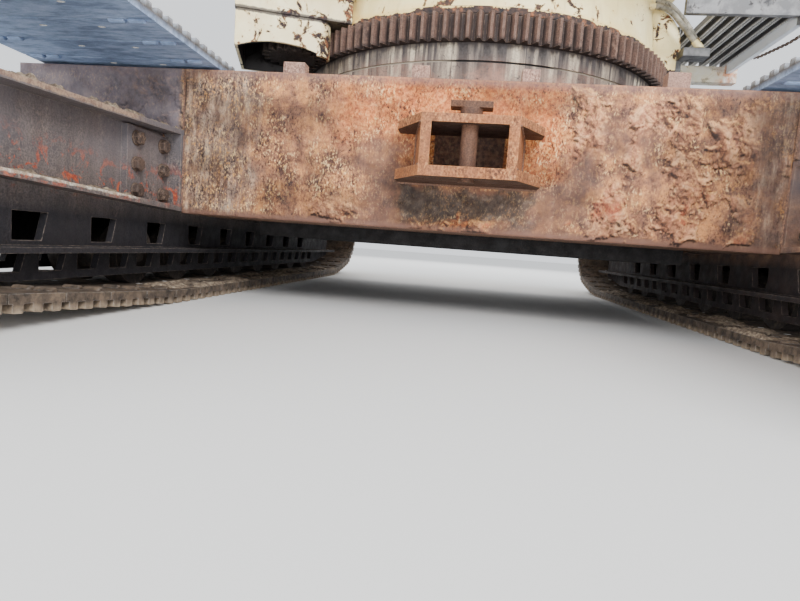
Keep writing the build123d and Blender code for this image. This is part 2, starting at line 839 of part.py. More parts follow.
def bracket_face(y):
    with BuildSketch(Plane((SKIRT_FOOT_RADIUS, y, 0), x_dir=(1, 0, 0), z_dir=(0, -1, 0))) as face:
        with BuildLine():
            Polyline(
                BRACKET_EDGE[-1],
                (BRACKET_EDGE[-1][0], BED_BOTTOM),
                (BRACKET_FROM, BED_BOTTOM),
                (BRACKET_FROM, BRACKET_BOTTOM),
                (BRACKET_FOOT[0], BRACKET_BOTTOM),
                BRACKET_FOOT,
                BRACKET_EDGE[0],
            )
            Spline(*BRACKET_EDGE)
        make_face()
        with Locations(*BRACKET_HOLES):
            Circle(BRACKET_HOLE_RADIUS, mode=Mode.SUBTRACT)
    return face.sketch


def make_race():
    """The skirt with the hose bracket welded to it, the block on the bracket and the hoses' fittings."""
    front = SLEW_Y + BRACKET_Y - BRACKET_THICK / 2
    with BuildPart() as race:
        turn_skirt(0, Mode.ADD)
        extrude(bracket_face(front), amount=-BRACKET_THICK)
        near = SKIRT_FOOT_RADIUS + BLOCK_FROM
        far = SKIRT_FOOT_RADIUS + BLOCK_TO
        box_between(near, far, front - BLOCK_REACH, front, BLOCK_LOW, BLOCK_HIGH)
        for route in (LOW_HOSE, HIGH_HOSE):
            points = hose_points(route)
            add_fitting(points[0], points[0] - points[1], STUB_LENGTH)
            add_fitting(points[-1], points[-1] - points[-2], FITTING_LENGTH)
    finish(race.part, "race_skirt")


def make_bed_plate():
    with BuildPart() as bed:
        box_between(-BED_HALF, BED_HALF, SLEW_Y - BED_FRONT, SLEW_Y + BED_REAR, BED_BOTTOM, BED_TOP)
        chamfer(bed.edges().filter_by(Axis.Z).group_by(Axis.Y)[0], BED_CORNER)
        with BuildSketch(Plane((PINION_X, PINION_Y, BED_BOTTOM))):
            Circle(BED_BULGE)
        extrude(amount=BED_PLATE)
        with Locations((0, SLEW_Y, BED_BOTTOM + BED_PLATE / 2)):
            Cylinder(CENTRE_HOLE, BED_PLATE, mode=Mode.SUBTRACT)
        with Locations((PINION_X, PINION_Y, BED_BOTTOM + BED_PLATE / 2)):
            Cylinder(PINION_SHAFT + SEAT_CLEAR, BED_PLATE, mode=Mode.SUBTRACT)
    finish(bed.part, "bed_plate")


def make_girder(side, name):
    x0 = side * (GIRDER_X - GIRDER_THICK / 2)
    x1 = side * (GIRDER_X + GIRDER_THICK / 2)
    with BuildPart() as girder:
        box_between(x0, x1, SLEW_Y - BED_FRONT, SLEW_Y + BED_REAR, BED_TOP, GIRDER_TOP)
    finish(girder.part, name)


def make_cross(k, name):
    y = SLEW_Y + CROSS_YS[k]
    half = GIRDER_X - GIRDER_THICK / 2
    with BuildPart() as cross:
        box_between(-half, half, y - CROSS_THICK / 2, y + CROSS_THICK / 2, BED_TOP, GIRDER_TOP)
    finish(cross.part, name)


def make_foot(side, name):
    """A pair of plates outside and inside the girder's nose with one bore for the mast's foot pin."""
    nose = SLEW_Y - BED_FRONT
    bore_y = nose - FOOT_RADIUS
    back = nose + FOOT_BACK
    x0 = side * GIRDER_X - GIRDER_THICK / 2
    x1 = side * GIRDER_X + GIRDER_THICK / 2
    with BuildPart() as foot:
        for edge in (x0 - FOOT_THICK, x1):
            with BuildSketch(Plane.YZ.offset(edge)):
                with BuildLine():
                    Polyline(
                        (back, BED_TOP),
                        (nose, BED_TOP),
                        (bore_y - FOOT_RADIUS, FOOT_Z),
                        (bore_y, FOOT_Z + FOOT_RADIUS),
                        (back, GIRDER_TOP),
                        close=True,
                    )
                make_face()
            extrude(amount=FOOT_THICK)
        with BuildSketch(Plane.YZ.offset(side * GIRDER_X)):
            with Locations((bore_y, FOOT_Z)):
                Circle(FOOT_RADIUS)
        extrude(amount=GIRDER_THICK / 2 + FOOT_THICK, both=True)
        box_between(x0, x1, nose, bore_y, BED_TOP, FOOT_Z)
        with BuildSketch(Plane.YZ.offset(side * GIRDER_X)):
            with Locations((bore_y, FOOT_Z)):
                Circle(FOOT_BORE / 2)
        extrude(amount=GIRDER_THICK / 2 + FOOT_THICK, both=True, mode=Mode.SUBTRACT)
    finish(foot.part, name)


def housing_plane(z):
    """The plane at height z with its origin on the pinion's axis and its X axis along the housing's front."""
    turn = math.radians(HOUSING_TURN)
    along = (math.cos(turn), math.sin(turn), 0)
    return Plane(origin=(PINION_X, PINION_Y, z), x_dir=along, z_dir=(0, 0, 1))


def housing_face():
    with BuildSketch(housing_plane(HOUSING_LOW)) as section:
        with BuildLine():
            Polyline(
                (-HOUSING_LEFT, -HOUSING_FRONT),
                (HOUSING_RIGHT, -HOUSING_FRONT),
                (HOUSING_RIGHT, HOUSING_BACK),
                (-HOUSING_LEFT, HOUSING_BACK),
                close=True,
            )
        make_face()
    return section.sketch


def guard_face(z, inset):
    """The guard's plan drawn in by inset, with its right front corner rounded."""
    with BuildSketch(housing_plane(z)) as section:
        with BuildLine():
            Polyline(
                (-GUARD_LEFT + inset, -HOUSING_FRONT + inset),
                (GUARD_RIGHT - inset, -HOUSING_FRONT + inset),
                (GUARD_RIGHT - inset, HOUSING_BACK - inset),
                (-GUARD_LEFT + inset, HOUSING_BACK - inset),
                close=True,
            )
        make_face()
        corner = section.vertices().group_by(Axis.Y)[0].sort_by(Axis.X)[-1]
        fillet(corner, GUARD_ROUND - inset)
    return section.sketch


def cut_guard_arch():
    """The arched lower edge of the guard's front wall."""
    flat = housing_plane(0)
    wall = Plane(origin=flat.origin - flat.y_dir * HOUSING_FRONT, x_dir=flat.x_dir, z_dir=-flat.y_dir)
    left = (-GUARD_LEFT + GUARD_WALL, GUARD_BOTTOM)
    right = (GUARD_RIGHT - GUARD_ROUND, GUARD_BOTTOM + GUARD_LIP)
    with BuildSketch(wall) as arch:
        with BuildLine():
            ThreePointArc(left, ((left[0] + right[0]) / 2, GUARD_BOTTOM + GUARD_ARCH), right)
            Polyline(right, (right[0], GUARD_BOTTOM), left)
        make_face()
    extrude(arch.sketch, amount=-GUARD_WALL, mode=Mode.SUBTRACT)


def make_guard():
    """The pinion's housing under the bed, a dark seam, and the guard that hangs round the pinion."""
    seam = HOUSING_LOW - GUARD_SEAM
    depth = HOUSING_LOW - GUARD_BOTTOM
    with BuildPart() as guard:
        extrude(guard_face(GUARD_BOTTOM, 0), amount=seam - GUARD_BOTTOM)
        extrude(guard_face(seam, SEAM_DEPTH), amount=GUARD_SEAM)
        extrude(guard_face(GUARD_BOTTOM, GUARD_WALL), amount=depth, mode=Mode.SUBTRACT)
        cut_guard_arch()
        with Locations((PINION_X, PINION_Y, GUARD_BOTTOM + depth / 2)):
            Cylinder(PINION_ROOM, depth, mode=Mode.SUBTRACT)
        with Locations((0, SLEW_Y, GUARD_BOTTOM + depth / 2)):
            Cylinder(TIP_RADIUS + GUARD_CLEAR, depth, mode=Mode.SUBTRACT)
        extrude(housing_face(), amount=BED_BOTTOM - HOUSING_LOW)
        turn_skirt(SEAT_CLEAR, Mode.SUBTRACT)
        with Locations((PINION_X, PINION_Y, (HOUSING_LOW + BED_BOTTOM) / 2)):
            Cylinder(PINION_SHAFT + SEAT_CLEAR, BED_BOTTOM - HOUSING_LOW, mode=Mode.SUBTRACT)
    finish(guard.part, "swing_guard")


def make_swing_drive():
    with BuildPart() as gearbox:
        with BuildSketch(Plane((PINION_X, PINION_Y, BED_TOP))):
            Circle(GEARBOX_RADIUS)
        extrude(amount=GEARBOX_HEIGHT)
        chamfer(gearbox.faces().sort_by(Axis.Z)[-1].edges(), GEARBOX_CHAMFER)
    finish(gearbox.part, "swing_gearbox")
    with BuildPart() as motor:
        with BuildSketch(Plane((PINION_X, PINION_Y, BED_TOP + GEARBOX_HEIGHT))):
            Circle(SWING_MOTOR_RADIUS)
        extrude(amount=SWING_MOTOR_HEIGHT)
    finish(motor.part, "swing_motor")


def make_rails():
    """Front and rear members hung from the bed, the outer member, and an eye at each end of the chain."""
    front = SLEW_Y + WALK_FRONT
    face = front + WALK_FACE
    rear = SLEW_Y + WALK_REAR
    arm = rear + WALK_ARM
    hang = BED_HALF - HANGER
    eye = WALK_END - EYE_WIDTH
    edge_high = PLANK_BOTTOM + PLANK_HEIGHT
    with BuildPart() as rails:
        box_between(hang, WALK_END, front, face, WALK_FACE_LOW, WALK_FACE_HIGH)
        box_between(hang, BED_HALF, front, face, WALK_FACE_LOW, BED_BOTTOM)
        box_between(hang, WALK_END, rear, arm, WALK_ARM_LOW, PLANK_BOTTOM)
        box_between(hang, BED_HALF, rear, arm, WALK_ARM_LOW, BED_BOTTOM)
        box_between(WALK_TO - WALK_EDGE, WALK_TO, front, arm, WALK_EDGE_LOW, edge_high)
        box_between(eye, WALK_END, front, face, EYE_FRONT_LOW, WALK_FACE_LOW)
        box_between(eye, WALK_END, rear, rear + EYE_WIDTH, PLANK_BOTTOM, EYE_REAR_TOP)
    finish(rails.part, "walkway_rails")


def make_planks():
    """Bars along the walkway; the innermost stop short of the hoses and their bracket."""
    start = BED_HALF + PLANK_MARGIN
    step = (WALK_TO - WALK_EDGE - start) / PLANK_COUNT
    front = SLEW_Y + WALK_FRONT + WALK_FACE
    rear = SLEW_Y + WALK_REAR + WALK_ARM
    with BuildPart() as planks:
        for k in range(PLANK_COUNT):
            x = start + k * step
            y = SLEW_Y + SHORT_PLANK_FRONT if k < SHORT_PLANKS else front
            box_between(x, x + step - PLANK_GAP, y, rear, PLANK_BOTTOM, PLANK_BOTTOM + PLANK_HEIGHT)
    finish(planks.part, "walkway_planks")


def make_hoses():
    with BuildPart() as hoses:
        for route, radii in ((LOW_HOSE, LOW_HOSE_RADII), (HIGH_HOSE, HIGH_HOSE_RADII)):
            with BuildLine() as path:
                FilletPolyline(*hose_points(route), radius=radii)
            wire = path.wire()
            with BuildSketch(Plane(origin=wire @ 0, z_dir=wire % 0)) as section:
                Circle(HOSE_RADIUS)
            sweep(section.sketch, path=wire)
            print("hose", round(wire.length), "mm long, radii", radii)
    finish(hoses.part, "hydraulic_hoses")


def make_chain():
    """The chain's line as a square bar."""
    half = CHAIN_WIDTH / 2
    under = [(SLEW_Y + y, z - half) for y, z in CHAIN_LINE]
    over = [(SLEW_Y + y, z + half) for y, z in CHAIN_LINE]
    with BuildPart() as chain:
        extrude(side_face(CHAIN_X - half, under, over), amount=CHAIN_WIDTH)
    finish(chain.part, "walkway_chain")


os.makedirs("parts", exist_ok=True)

for side, word in ((-1, "left"), (1, "right")):
    make_track(side, f"track_{word}")
    make_side_frame(side, f"side_frame_{word}")
    make_rollers(side, f"track_rollers_{word}")
    make_carriers(side, f"carrier_rollers_{word}")
    make_idler(side, f"idler_{word}")
    make_tumbler(side, f"drive_tumbler_{word}")
    make_axle_caps(side, f"axle_caps_{word}")
    make_final_drive(side, f"final_drive_{word}")
    make_travel_motor(side, f"travel_motor_{word}")
    make_girder(side, f"bed_girder_{word}")
    make_foot(side, f"mast_foot_{word}")

for end, word in ((-1, "front"), (1, "rear")):
    make_beam(end, f"{word}_beam")
    make_lugs(end, f"{word}_beam_lugs")

for k, word in enumerate(("front", "middle", "rear")):
    make_cross(k, f"bed_cross_{word}")

make_centre_box()
make_drum()
make_ring_gear()
make_swivel()
make_tow_box()
make_tow_pin()
make_race()
make_bed_plate()
make_guard()
make_pinion()
make_swing_drive()
make_rails()
make_planks()
make_hoses()
make_chain()
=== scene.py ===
import json
import math

import bmesh
import bpy
from mathutils import Matrix, Vector, noise


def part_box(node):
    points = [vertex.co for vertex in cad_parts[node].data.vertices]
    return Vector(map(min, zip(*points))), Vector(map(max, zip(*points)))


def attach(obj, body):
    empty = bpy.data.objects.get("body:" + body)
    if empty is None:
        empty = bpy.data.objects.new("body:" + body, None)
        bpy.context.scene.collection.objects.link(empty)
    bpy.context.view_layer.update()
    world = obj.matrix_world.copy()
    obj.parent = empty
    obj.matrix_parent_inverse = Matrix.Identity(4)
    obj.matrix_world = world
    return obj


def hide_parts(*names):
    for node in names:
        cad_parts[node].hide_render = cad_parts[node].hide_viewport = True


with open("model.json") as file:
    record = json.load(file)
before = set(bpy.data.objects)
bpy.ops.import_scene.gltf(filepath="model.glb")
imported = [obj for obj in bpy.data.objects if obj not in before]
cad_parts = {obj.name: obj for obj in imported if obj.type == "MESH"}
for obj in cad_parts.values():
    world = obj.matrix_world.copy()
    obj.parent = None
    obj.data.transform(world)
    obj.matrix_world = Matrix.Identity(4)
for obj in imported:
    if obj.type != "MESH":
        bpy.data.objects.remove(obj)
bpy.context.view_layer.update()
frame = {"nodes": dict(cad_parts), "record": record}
NODES = frame["nodes"]

# Places and sizes that the pieces share with the frame, in metres
SLEW_Y = 0.42
FRONT_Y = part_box("front_beam")[0].y
REAR_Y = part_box("rear_beam")[1].y
BEAM_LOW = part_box("front_beam")[0].z
BEAM_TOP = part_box("front_beam")[1].z
ARM_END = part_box("front_beam")[1].x
BEAM_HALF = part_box("side_frame_right")[0].x
FRAME_TOP = 0.69
WEB_X = 1.26
FLANGE_LOW = 0.376
FLANGE_NOSE = 0.420
TOP_NOSE = 0.630
FRAME_NOSE_Y = -2.03
MOUTH_HALF = 0.135
MOUTH_LOW = 0.571
MOUTH_TOP = 0.721

# Soft edges of looks on the frame's own parts: where the look begins, and where it is full
TOOTH_VALLEY_RADII = (0.998, 0.984)
TOOTH_FOOT_LEVELS = (1.160, 1.148)
GROOVE_RADII = (0.954, 0.950)
DRUM_TOP_LEVELS = (1.150, 1.164)
GUARD_INSIDE_LEVELS = (1.262, 1.256)
CLAMP_BLOCK_X = (0.990, 0.994)
CLAMP_BLOCK_LEVELS = (1.356, 1.351)
RAIL_FRONT_Y = (-0.100, -0.108)
RAIL_OUTER_X = (1.418, 1.424)
RAIL_FAR_Y = (0.570, 0.576)
UPPER_RUN_LEVELS = (0.86, 0.93)
LOWER_RUN_LEVELS = (0.62, 0.30)

# The camera stands at ground level in front of the towing box. Metres, degrees, and the lens in millimetres.
CAMERA_PLACE = (0.023, -2.879, 0.277)
CAMERA_YAW = -6.54
CAMERA_PITCH = -5.67
CAMERA_ROLL = 4.23
CAMERA_LENS = 24.40


def make_camera():
    yaw, pitch, roll = (math.radians(a) for a in (CAMERA_YAW, CAMERA_PITCH, CAMERA_ROLL))
    ahead = Vector((math.sin(yaw) * math.cos(pitch), math.cos(yaw) * math.cos(pitch), math.sin(pitch)))
    level = Vector((math.cos(yaw), -math.sin(yaw), 0))
    upward = level.cross(ahead)
    right = level * math.cos(roll) + upward * math.sin(roll)
    up = upward * math.cos(roll) - level * math.sin(roll)
    data = bpy.data.cameras.new("camera")
    data.lens = CAMERA_LENS
    data.clip_start = 0.01
    camera = bpy.data.objects.new("camera", data)
    turn = Matrix((right, up, -ahead)).transposed()
    camera.matrix_world = Matrix.Translation(CAMERA_PLACE) @ turn.to_4x4()
    bpy.context.collection.objects.link(camera)
    bpy.context.scene.camera = camera


def shown(tone):
    """The shader's colour for a grey, or for a colour in display values of 0 to 255."""
    if isinstance(tone, tuple):
        return (*((c / 255) ** 2.2 for c in tone), 1.0)
    return tone, tone, tone, 1.0


class Shade:
    """A short way to write a material's nodes: each call adds nodes and gives their output.
"""

    def __init__(self, name):
        self.material = bpy.data.materials.new(name)
        self.material.use_nodes = True
        self.tree = self.material.node_tree
        self.tree.nodes.clear()
        self.shader = self.node("BsdfPrincipled")
        self.link(self.shader.outputs[0], self.node("OutputMaterial").inputs[0])
        coordinates = self.node("TexCoord")
        self.place, self.facing = coordinates.outputs["Object"], coordinates.outputs["Normal"]
        self.colour = None

    def node(self, kind, **values):
        """A new node, with values for the inputs that are named."""
        node = self.tree.nodes.new("ShaderNode" + kind)
        for name, value in values.items():
            node.inputs[name.replace("_", " ")].default_value = value
        return node

    def link(self, value, socket):
        if isinstance(value, bpy.types.NodeSocket):
            self.tree.links.new(value, socket)
        else:
            socket.default_value = value

    def math(self, kind, a, b=0.0):
        node = self.node("Math")
        node.operation = kind
        self.link(a, node.inputs[0])
        self.link(b, node.inputs[1])
        return node.outputs[0]

    def plus(self, a, b):
        return self.math("ADD", a, b)

    def minus(self, a, b):
        return self.math("SUBTRACT", a, b)

    def times(self, first, *others):
        for other in others:
            first = self.math("MULTIPLY", first, other)
        return first

    def vector(self, kind, a, b=(0.0, 0.0, 0.0)):
        node = self.node("VectorMath")
        node.operation = kind
        self.link(a, node.inputs[0])
        self.link(b, node.inputs[1])
        return node.outputs["Value" if kind in ("LENGTH", "DOT_PRODUCT") else "Vector"]

    def stretch(self, x, y, z):
        return self.vector("MULTIPLY", self.place, (x, y, z))

    def noise(self, scale, detail=4.0, rough=0.55, place=None, warp=0.0, output=0):
        node = self.node("TexNoise", Scale=scale, Detail=detail, Roughness=rough, Distortion=warp)
        self.link(place or self.place, node.inputs["Vector"])
        return node.outputs[output]

    def warped(self, scale, amount):
        """The place pushed about by noise, up to about half the amount."""
        push = self.vector("SUBTRACT", self.noise(scale, 3, output="Color"), (0.5, 0.5, 0.5))
        push = self.vector("MULTIPLY", push, (amount, amount, amount))
        return self.vector("ADD", self.place, push)

    def ramp(self, value, *stops):
        """Stops are (position, grey or colour)."""
        node = self.node("ValToRGB")
        ramp = node.color_ramp
        while len(ramp.elements) < len(stops):
            ramp.elements.new(0.5)
        for element, (position, tone) in zip(ramp.elements, stops):
            element.position = position
            element.color = shown(tone)
        self.link(value, node.inputs[0])
        return node.outputs[0]

    def mix(self, factor, a, b, kind="MIX"):
        node = self.node("Mix")
        node.data_type = "RGBA"
        node.blend_type = kind
        self.link(factor, node.inputs["Factor"])
        for value, key in ((a, "A"), (b, "B")):
            socket = [s for s in node.inputs if s.identifier == f"{key}_Color"][0]
            self.link(value if isinstance(value, bpy.types.NodeSocket) else shown(value), socket)
        return [s for s in node.outputs if s.identifier == "Result_Color"][0]

    def layer(self, tone, *masks, kind="MIX"):
        """A colour over what is there so far, as strong as the masks' product."""
        self.colour = self.mix(self.times(*masks), self.colour, tone, kind)

    def axis(self, name):
        node = self.node("SeparateXYZ")
        self.link(self.place, node.inputs[0])
        return node.outputs[name]

    def reach(self):
        """Distance from the slewing axis."""
        flat = self.vector("SUBTRACT", self.stretch(1, 1, 0), (0.0, SLEW_Y, 0.0))
        return self.vector("LENGTH", flat)

    def attribute(self, name):
        node = self.node("Attribute")
        node.attribute_name = name
        return node.outputs["Fac"]

    def band(self, value, low, high):
        """0 at low, 1 at high, which may be the lower of the two."""
        node = self.node("MapRange", From_Min=low, From_Max=high)
        node.clamp = True
        self.link(value, node.inputs["Value"])
        return node.outputs[0]

    def along(self, name, low, high):
        return self.band(self.axis(name), low, high)

    def rounded(self, radius):
        """The surface's direction as if sharp edges were rounded, and how near an edge it is."""
        bevel = self.node("Bevel", Radius=radius)
        bevel.samples = 4
        bend = self.vector("DOT_PRODUCT", bevel.outputs[0], self.node("NewGeometry").outputs["Normal"])
        return bevel.outputs[0], self.band(bend, 0.99, 0.80)

    def finish(self, rough, height=None, depth=0.0, normal=None):
        """Gives the material its colour, roughness, and bumps of a height times a depth in metres."""
        self.link(self.colour, self.shader.inputs["Base Color"])
        self.link(rough, self.shader.inputs["Roughness"])
        if height is not None:
            bump = self.node("Bump", Distance=depth)
            self.link(height, bump.inputs["Height"])
            if normal is not None:
                self.link(normal, bump.inputs["Normal"])
            self.link(bump.outputs[0], self.shader.inputs["Normal"])
        return self.material


# Rust palettes: dark pits, brown ground, rust, pale grains
BROWN_RUST = ((70, 54, 48), (118, 92, 82), (152, 110, 86), (200, 160, 122))
ORANGE_RUST = ((84, 54, 40), (154, 100, 68), (190, 122, 76), (210, 154, 104))
PINK_RUST = ((104, 80, 74), (156, 122, 108), (182, 142, 122), (210, 178, 158))
DARK_RUST = ((40, 35, 34), (74, 62, 57), (98, 78, 67), (144, 122, 104))
SHOE_STEEL = ((58, 56, 56), (94, 91, 90), (116, 111, 108), (158, 152, 146))
GREASY = ((28, 27, 28), (52, 47, 45), (72, 63, 57), (108, 95, 83))
# Near black: painted shade for the box that sits in shadow under the beams.
SHADE_BLACK = ((14, 14, 16), (24, 23, 25), (32, 29, 30), (48, 42, 40))
# Zinc near white: partly its own pale grey, partly painted light for faces that get little light from below.
ZINC_WITH_PAINTED_LIGHT = ((128, 129, 131), (206, 207, 209), (230, 230, 229), (252, 252, 250))
GEAR_RUST = ((50, 40, 37), (96, 75, 67), (124, 94, 81), (174, 146, 126))
FRAME_RUST = ((56, 52, 53), (100, 94, 95), (124, 110, 104), (170, 152, 138))
PIN_RUST = ((46, 32, 26), (86, 60, 48), (114, 80, 60), (168, 124, 94))


def rust(name, palette, grain=150, cover=(0.42, 0.62), streak=0.35, extra=None):
    """Rusty steel: ground and rust in broad patches, grains over part of it, and streaks running down."""
    dark, brown, mid, pale = palette
    s = Shade(name)
    speck = s.noise(grain, 4, 0.6, place=s.vector("MULTIPLY", s.warped(24, 0.02), (1.0, 1.0, 0.6)))
    broad = s.noise(5, 5, 0.6, warp=0.4)
    fine = s.noise(180, 4, 0.65)
    s.colour = s.ramp(broad, (0.36, brown), (0.64, mid))
    grains = s.ramp(speck, (0.36, dark), (0.46, brown), (0.54, mid), (0.64, pale))
    s.layer(grains, s.ramp(s.noise(8, 5, 0.62), (cover[0], 0.12), (cover[1], 0.9)))
    runs = s.ramp(s.noise(1, 5, 0.6, place=s.stretch(34, 34, 2.4)), (0.40, 0.55), (0.62, 1.1))
    s.layer(runs, streak, kind="MULTIPLY")
    s.layer(dark, s.ramp(fine, (0.42, 0.5), (0.56, 0.0)))
    if extra:
        extra(s)
    normal, edge = s.rounded(0.004)
    s.layer(pale, edge, s.ramp(s.noise(60), (0.4, 0.1), (0.6, 0.7)))
    height = s.plus(s.times(speck, 0.45), s.times(fine, 0.55))
    rough = s.ramp(s.noise(20, 4), (0.35, 0.68), (0.65, 0.93))
    return s.finish(rough, height, 0.003, normal)


def flange_line(s, at_joint, at_nose, below, above):
    """A ragged line along a side frame's sloping flange, from the joint with the beam to the nose."""
    slope = (at_joint - at_nose) / (FRONT_Y - FRAME_NOSE_Y)
    off = s.minus(s.axis("Z"), s.times(s.axis("Y"), slope))
    off = s.plus(off, s.times(s.minus(s.noise(30, 6, 0.7), 0.5), 0.022))
    level = at_joint - slope * FRONT_Y
    soft = 0.004
    top = s.band(off, level + above + soft, level + above)
    foot = s.band(off, level - below, level - below + soft)
    return s.times(top, foot, s.along("Y", FRONT_Y - 0.28, FRONT_Y - 0.34))


def primer_patches(s):
    """The side frames: primer low on the web, the left one browner, dust on the flanges, grease below."""
    z = s.axis("Z")
    ragged = s.ramp(s.noise(17, 7, 0.72, warp=0.5), (0.53, 0.0), (0.58, 1.0))
    red = s.ramp(s.noise(90, 4), (0.4, (150, 62, 42)), (0.6, (196, 96, 58)))
    on_left = s.along("X", 0.5, -0.5)
    s.layer(red, s.band(z, 0.56, 0.44), s.band(z, 0.36, 0.40), s.band(on_left, -0.25, 1.0), ragged, 0.85)
    brown = s.ramp(s.noise(14, 6, 0.65), (0.38, (92, 70, 62)), (0.52, (134, 100, 80)), (0.66, (170, 128, 98)))
    s.layer(brown, s.band(on_left, 1.0, 0.0), 0.7)
    s.layer((112, 108, 114), s.band(z, 0.42, 0.62), s.ramp(s.noise(3), (0.38, 0.2), (0.62, 0.65)))
    dusty = s.ramp(s.noise(80, 5, 0.7), (0.42, (170, 152, 128)), (0.58, (226, 220, 206)))
    s.layer(dusty, flange_line(s, FLANGE_LOW, FLANGE_NOSE, 0.010, 0.008), 0.8)
    warm = s.ramp(s.noise(70, 5, 0.7), (0.4, (130, 100, 82)), (0.6, (186, 156, 128)))
    s.layer(warm, flange_line(s, FRAME_TOP, TOP_NOSE, 0.018, 0.004), 0.7)
    s.layer((90, 92, 106), s.band(z, 0.37, 0.30), kind="MULTIPLY")


def tooth_valley_shade(s):
    """Painted shade: the ring's teeth are darkened between them and at their feet, where shade falls."""
    valley = s.plus(s.reach(), s.times(s.noise(14, 4), 0.012))
    s.layer((60, 50, 48), s.band(valley, *TOOTH_VALLEY_RADII))
    foot = s.plus(s.axis("Z"), s.times(s.noise(30, 4), 0.02))
    s.layer((48, 40, 39), s.band(foot, *TOOTH_FOOT_LEVELS), 0.85)


def track_dust_and_painted_light(s):
    """Brown earth on the lower run and round the wheels, painted blue-grey sky light on the upper run's inner
    faces, and bars worn brown below and painted pale as if sunlit above.
    """
    z = s.plus(s.axis("Z"), s.times(s.noise(4, 4), 0.3))
    earth = s.ramp(s.noise(26, 6, 0.7), (0.36, (48, 41, 36)), (0.5, (84, 72, 61)), (0.64, (110, 94, 79)))
    # Painted sky light: the upper run's inner faces are pale blue-grey as if lit from the sky.
    painted_skylight = s.ramp(s.noise(30, 6, 0.7, place=s.stretch(0.3, 1, 1)), (0.38, (118, 138, 172)),
                       (0.52, (150, 174, 212)), (0.66, (180, 200, 234)))
    s.layer(painted_skylight, s.attribute("inner"), s.along("Z", *UPPER_RUN_LEVELS))
    lower_run = s.band(z, *LOWER_RUN_LEVELS)
    s.layer(earth, lower_run)
    # Bars worn brown on the lower run, and on the upper run a painted highlight where the sun would catch
    # them.
    worn = s.mix(lower_run, (176, 182, 192), (158, 140, 118))
    s.layer(worn, s.attribute("bar"), s.ramp(s.noise(40, 5), (0.38, 0.35), (0.56, 0.95)))


def sunlit_hole_material():
    """Painted sunlight: pale steel on the walls inside the shoes' holes, as if daylight fell through them."""
    s = Shade("painted_sunlit_hole_wall")
    fine = s.noise(200, 4, 0.6)
    s.colour = s.ramp(fine, (0.38, (206, 206, 204)), (0.6, (246, 246, 244)))
    return s.finish(0.6, fine, 0.001)


def drum_material():
    s = Shade("drum_steel")
    fine = s.noise(120, 5, 0.65)
    z = s.axis("Z")
    runs = s.noise(1, 4, 0.6, place=s.stretch(19, 19, 2.2), warp=0.3)
    s.colour = s.ramp(runs, (0.38, (54, 48, 46)), (0.46, (98, 89, 82)), (0.55, (140, 127, 112)),
                      (0.64, (192, 178, 154)))
    s.layer((58, 52, 52), s.ramp(s.noise(1, 3, 0.5, place=s.stretch(52, 52, 2.0)), (0.37, 0.9), (0.44, 0.0)))
    s.layer((156, 116, 98), s.ramp(s.noise(7, 5, 0.6), (0.44, 0.15), (0.60, 0.85)), s.band(z, 1.10, 1.00))
    drips = s.plus(z, s.times(s.noise(1, 4, 0.6, place=s.stretch(40, 40, 3)), 0.07))
    s.layer((56, 50, 50), s.band(drips, *DRUM_TOP_LEVELS), 0.8)
    s.layer((70, 62, 60), s.ramp(fine, (0.40, 0.35), (0.5, 0.0)))
    s.layer((48, 40, 40), s.ramp(s.noise(48, 5, 0.7, warp=0.8), (0.60, 0.0), (0.66, 0.8)))
    middle = s.times(s.along("X", -0.16, -0.08), s.along("X", 0.38, 0.30))
    # The groove is painted: pale at the sides to cover its shadow, and near black in the middle as painted
    # shade.
    groove_painted_light_and_shade = s.band(s.reach(), *GROOVE_RADII)
    s.layer((166, 155, 140), groove_painted_light_and_shade)
    s.layer((24, 20, 20), groove_painted_light_and_shade, middle)
    height = s.plus(s.times(runs, 0.7), s.times(fine, 0.3))
    normal, _ = s.rounded(0.003)
    return s.finish(s.ramp(fine, (0.3, 0.5), (0.7, 0.8)), height, 0.003, normal)


def guard_inside_shade(s):
    """Painted shade on the faces inside the housing that look at the pinion, and a dark ragged seam under the
    housing.
    """
    low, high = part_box("swing_pinion")
    out = s.vector("SUBTRACT", s.place, tuple((low + high) / 2))
    turned = s.vector("DOT_PRODUCT", s.vector("MULTIPLY", out, (1, 1, 0)), s.facing)
    z = s.plus(s.axis("Z"), s.times(s.minus(s.noise(34, 6, 0.7), 0.5), 0.02))
    # Painted shade: the inner faces that look at the pinion are darkened.
    s.layer((38, 35, 36), s.band(turned, 0.0, -0.01), s.band(z, *GUARD_INSIDE_LEVELS))
    s.layer((56, 48, 50), s.band(z, 1.242, 1.246), s.band(z, 1.271, 1.266), 0.9)


def clamp_block(s):
    """Dark dirt on the hoses' clamp block beside the bracket."""
    dirt = s.ramp(s.noise(30, 5), (0.4, (58, 58, 60)), (0.6, (92, 92, 92)))
    s.layer(dirt, s.along("X", *CLAMP_BLOCK_X), s.along("Z", *CLAMP_BLOCK_LEVELS))


def rail_tones(s):
    """The walkway's front channel is dull grey, its outer one painted pale as if lit from below, its far one
    cream with a rusty end.
    """
    dull = s.ramp(s.noise(20, 5), (0.4, (74, 74, 77)), (0.6, (112, 112, 114)))
    s.layer(dull, s.along("Y", *RAIL_FRONT_Y), 0.97)
    # Painted light: the outer channel's shaded underside is made pale blue-white.
    s.layer((240, 246, 255), s.along("X", *RAIL_OUTER_X), s.along("Y", -0.108, -0.104), 0.95)
    far = s.times(s.along("Y", *RAIL_FAR_Y), s.ramp(s.noise(12, 6, 0.7), (0.4, 0.5), (0.6, 0.9)))
    s.layer((206, 196, 168), far)
    stains = s.ramp(s.noise(30, 6, 0.7), (0.42, 0.2), (0.52, 1.0))
    s.layer((190, 112, 62), s.along("X", 1.36, 1.42), far, stains)


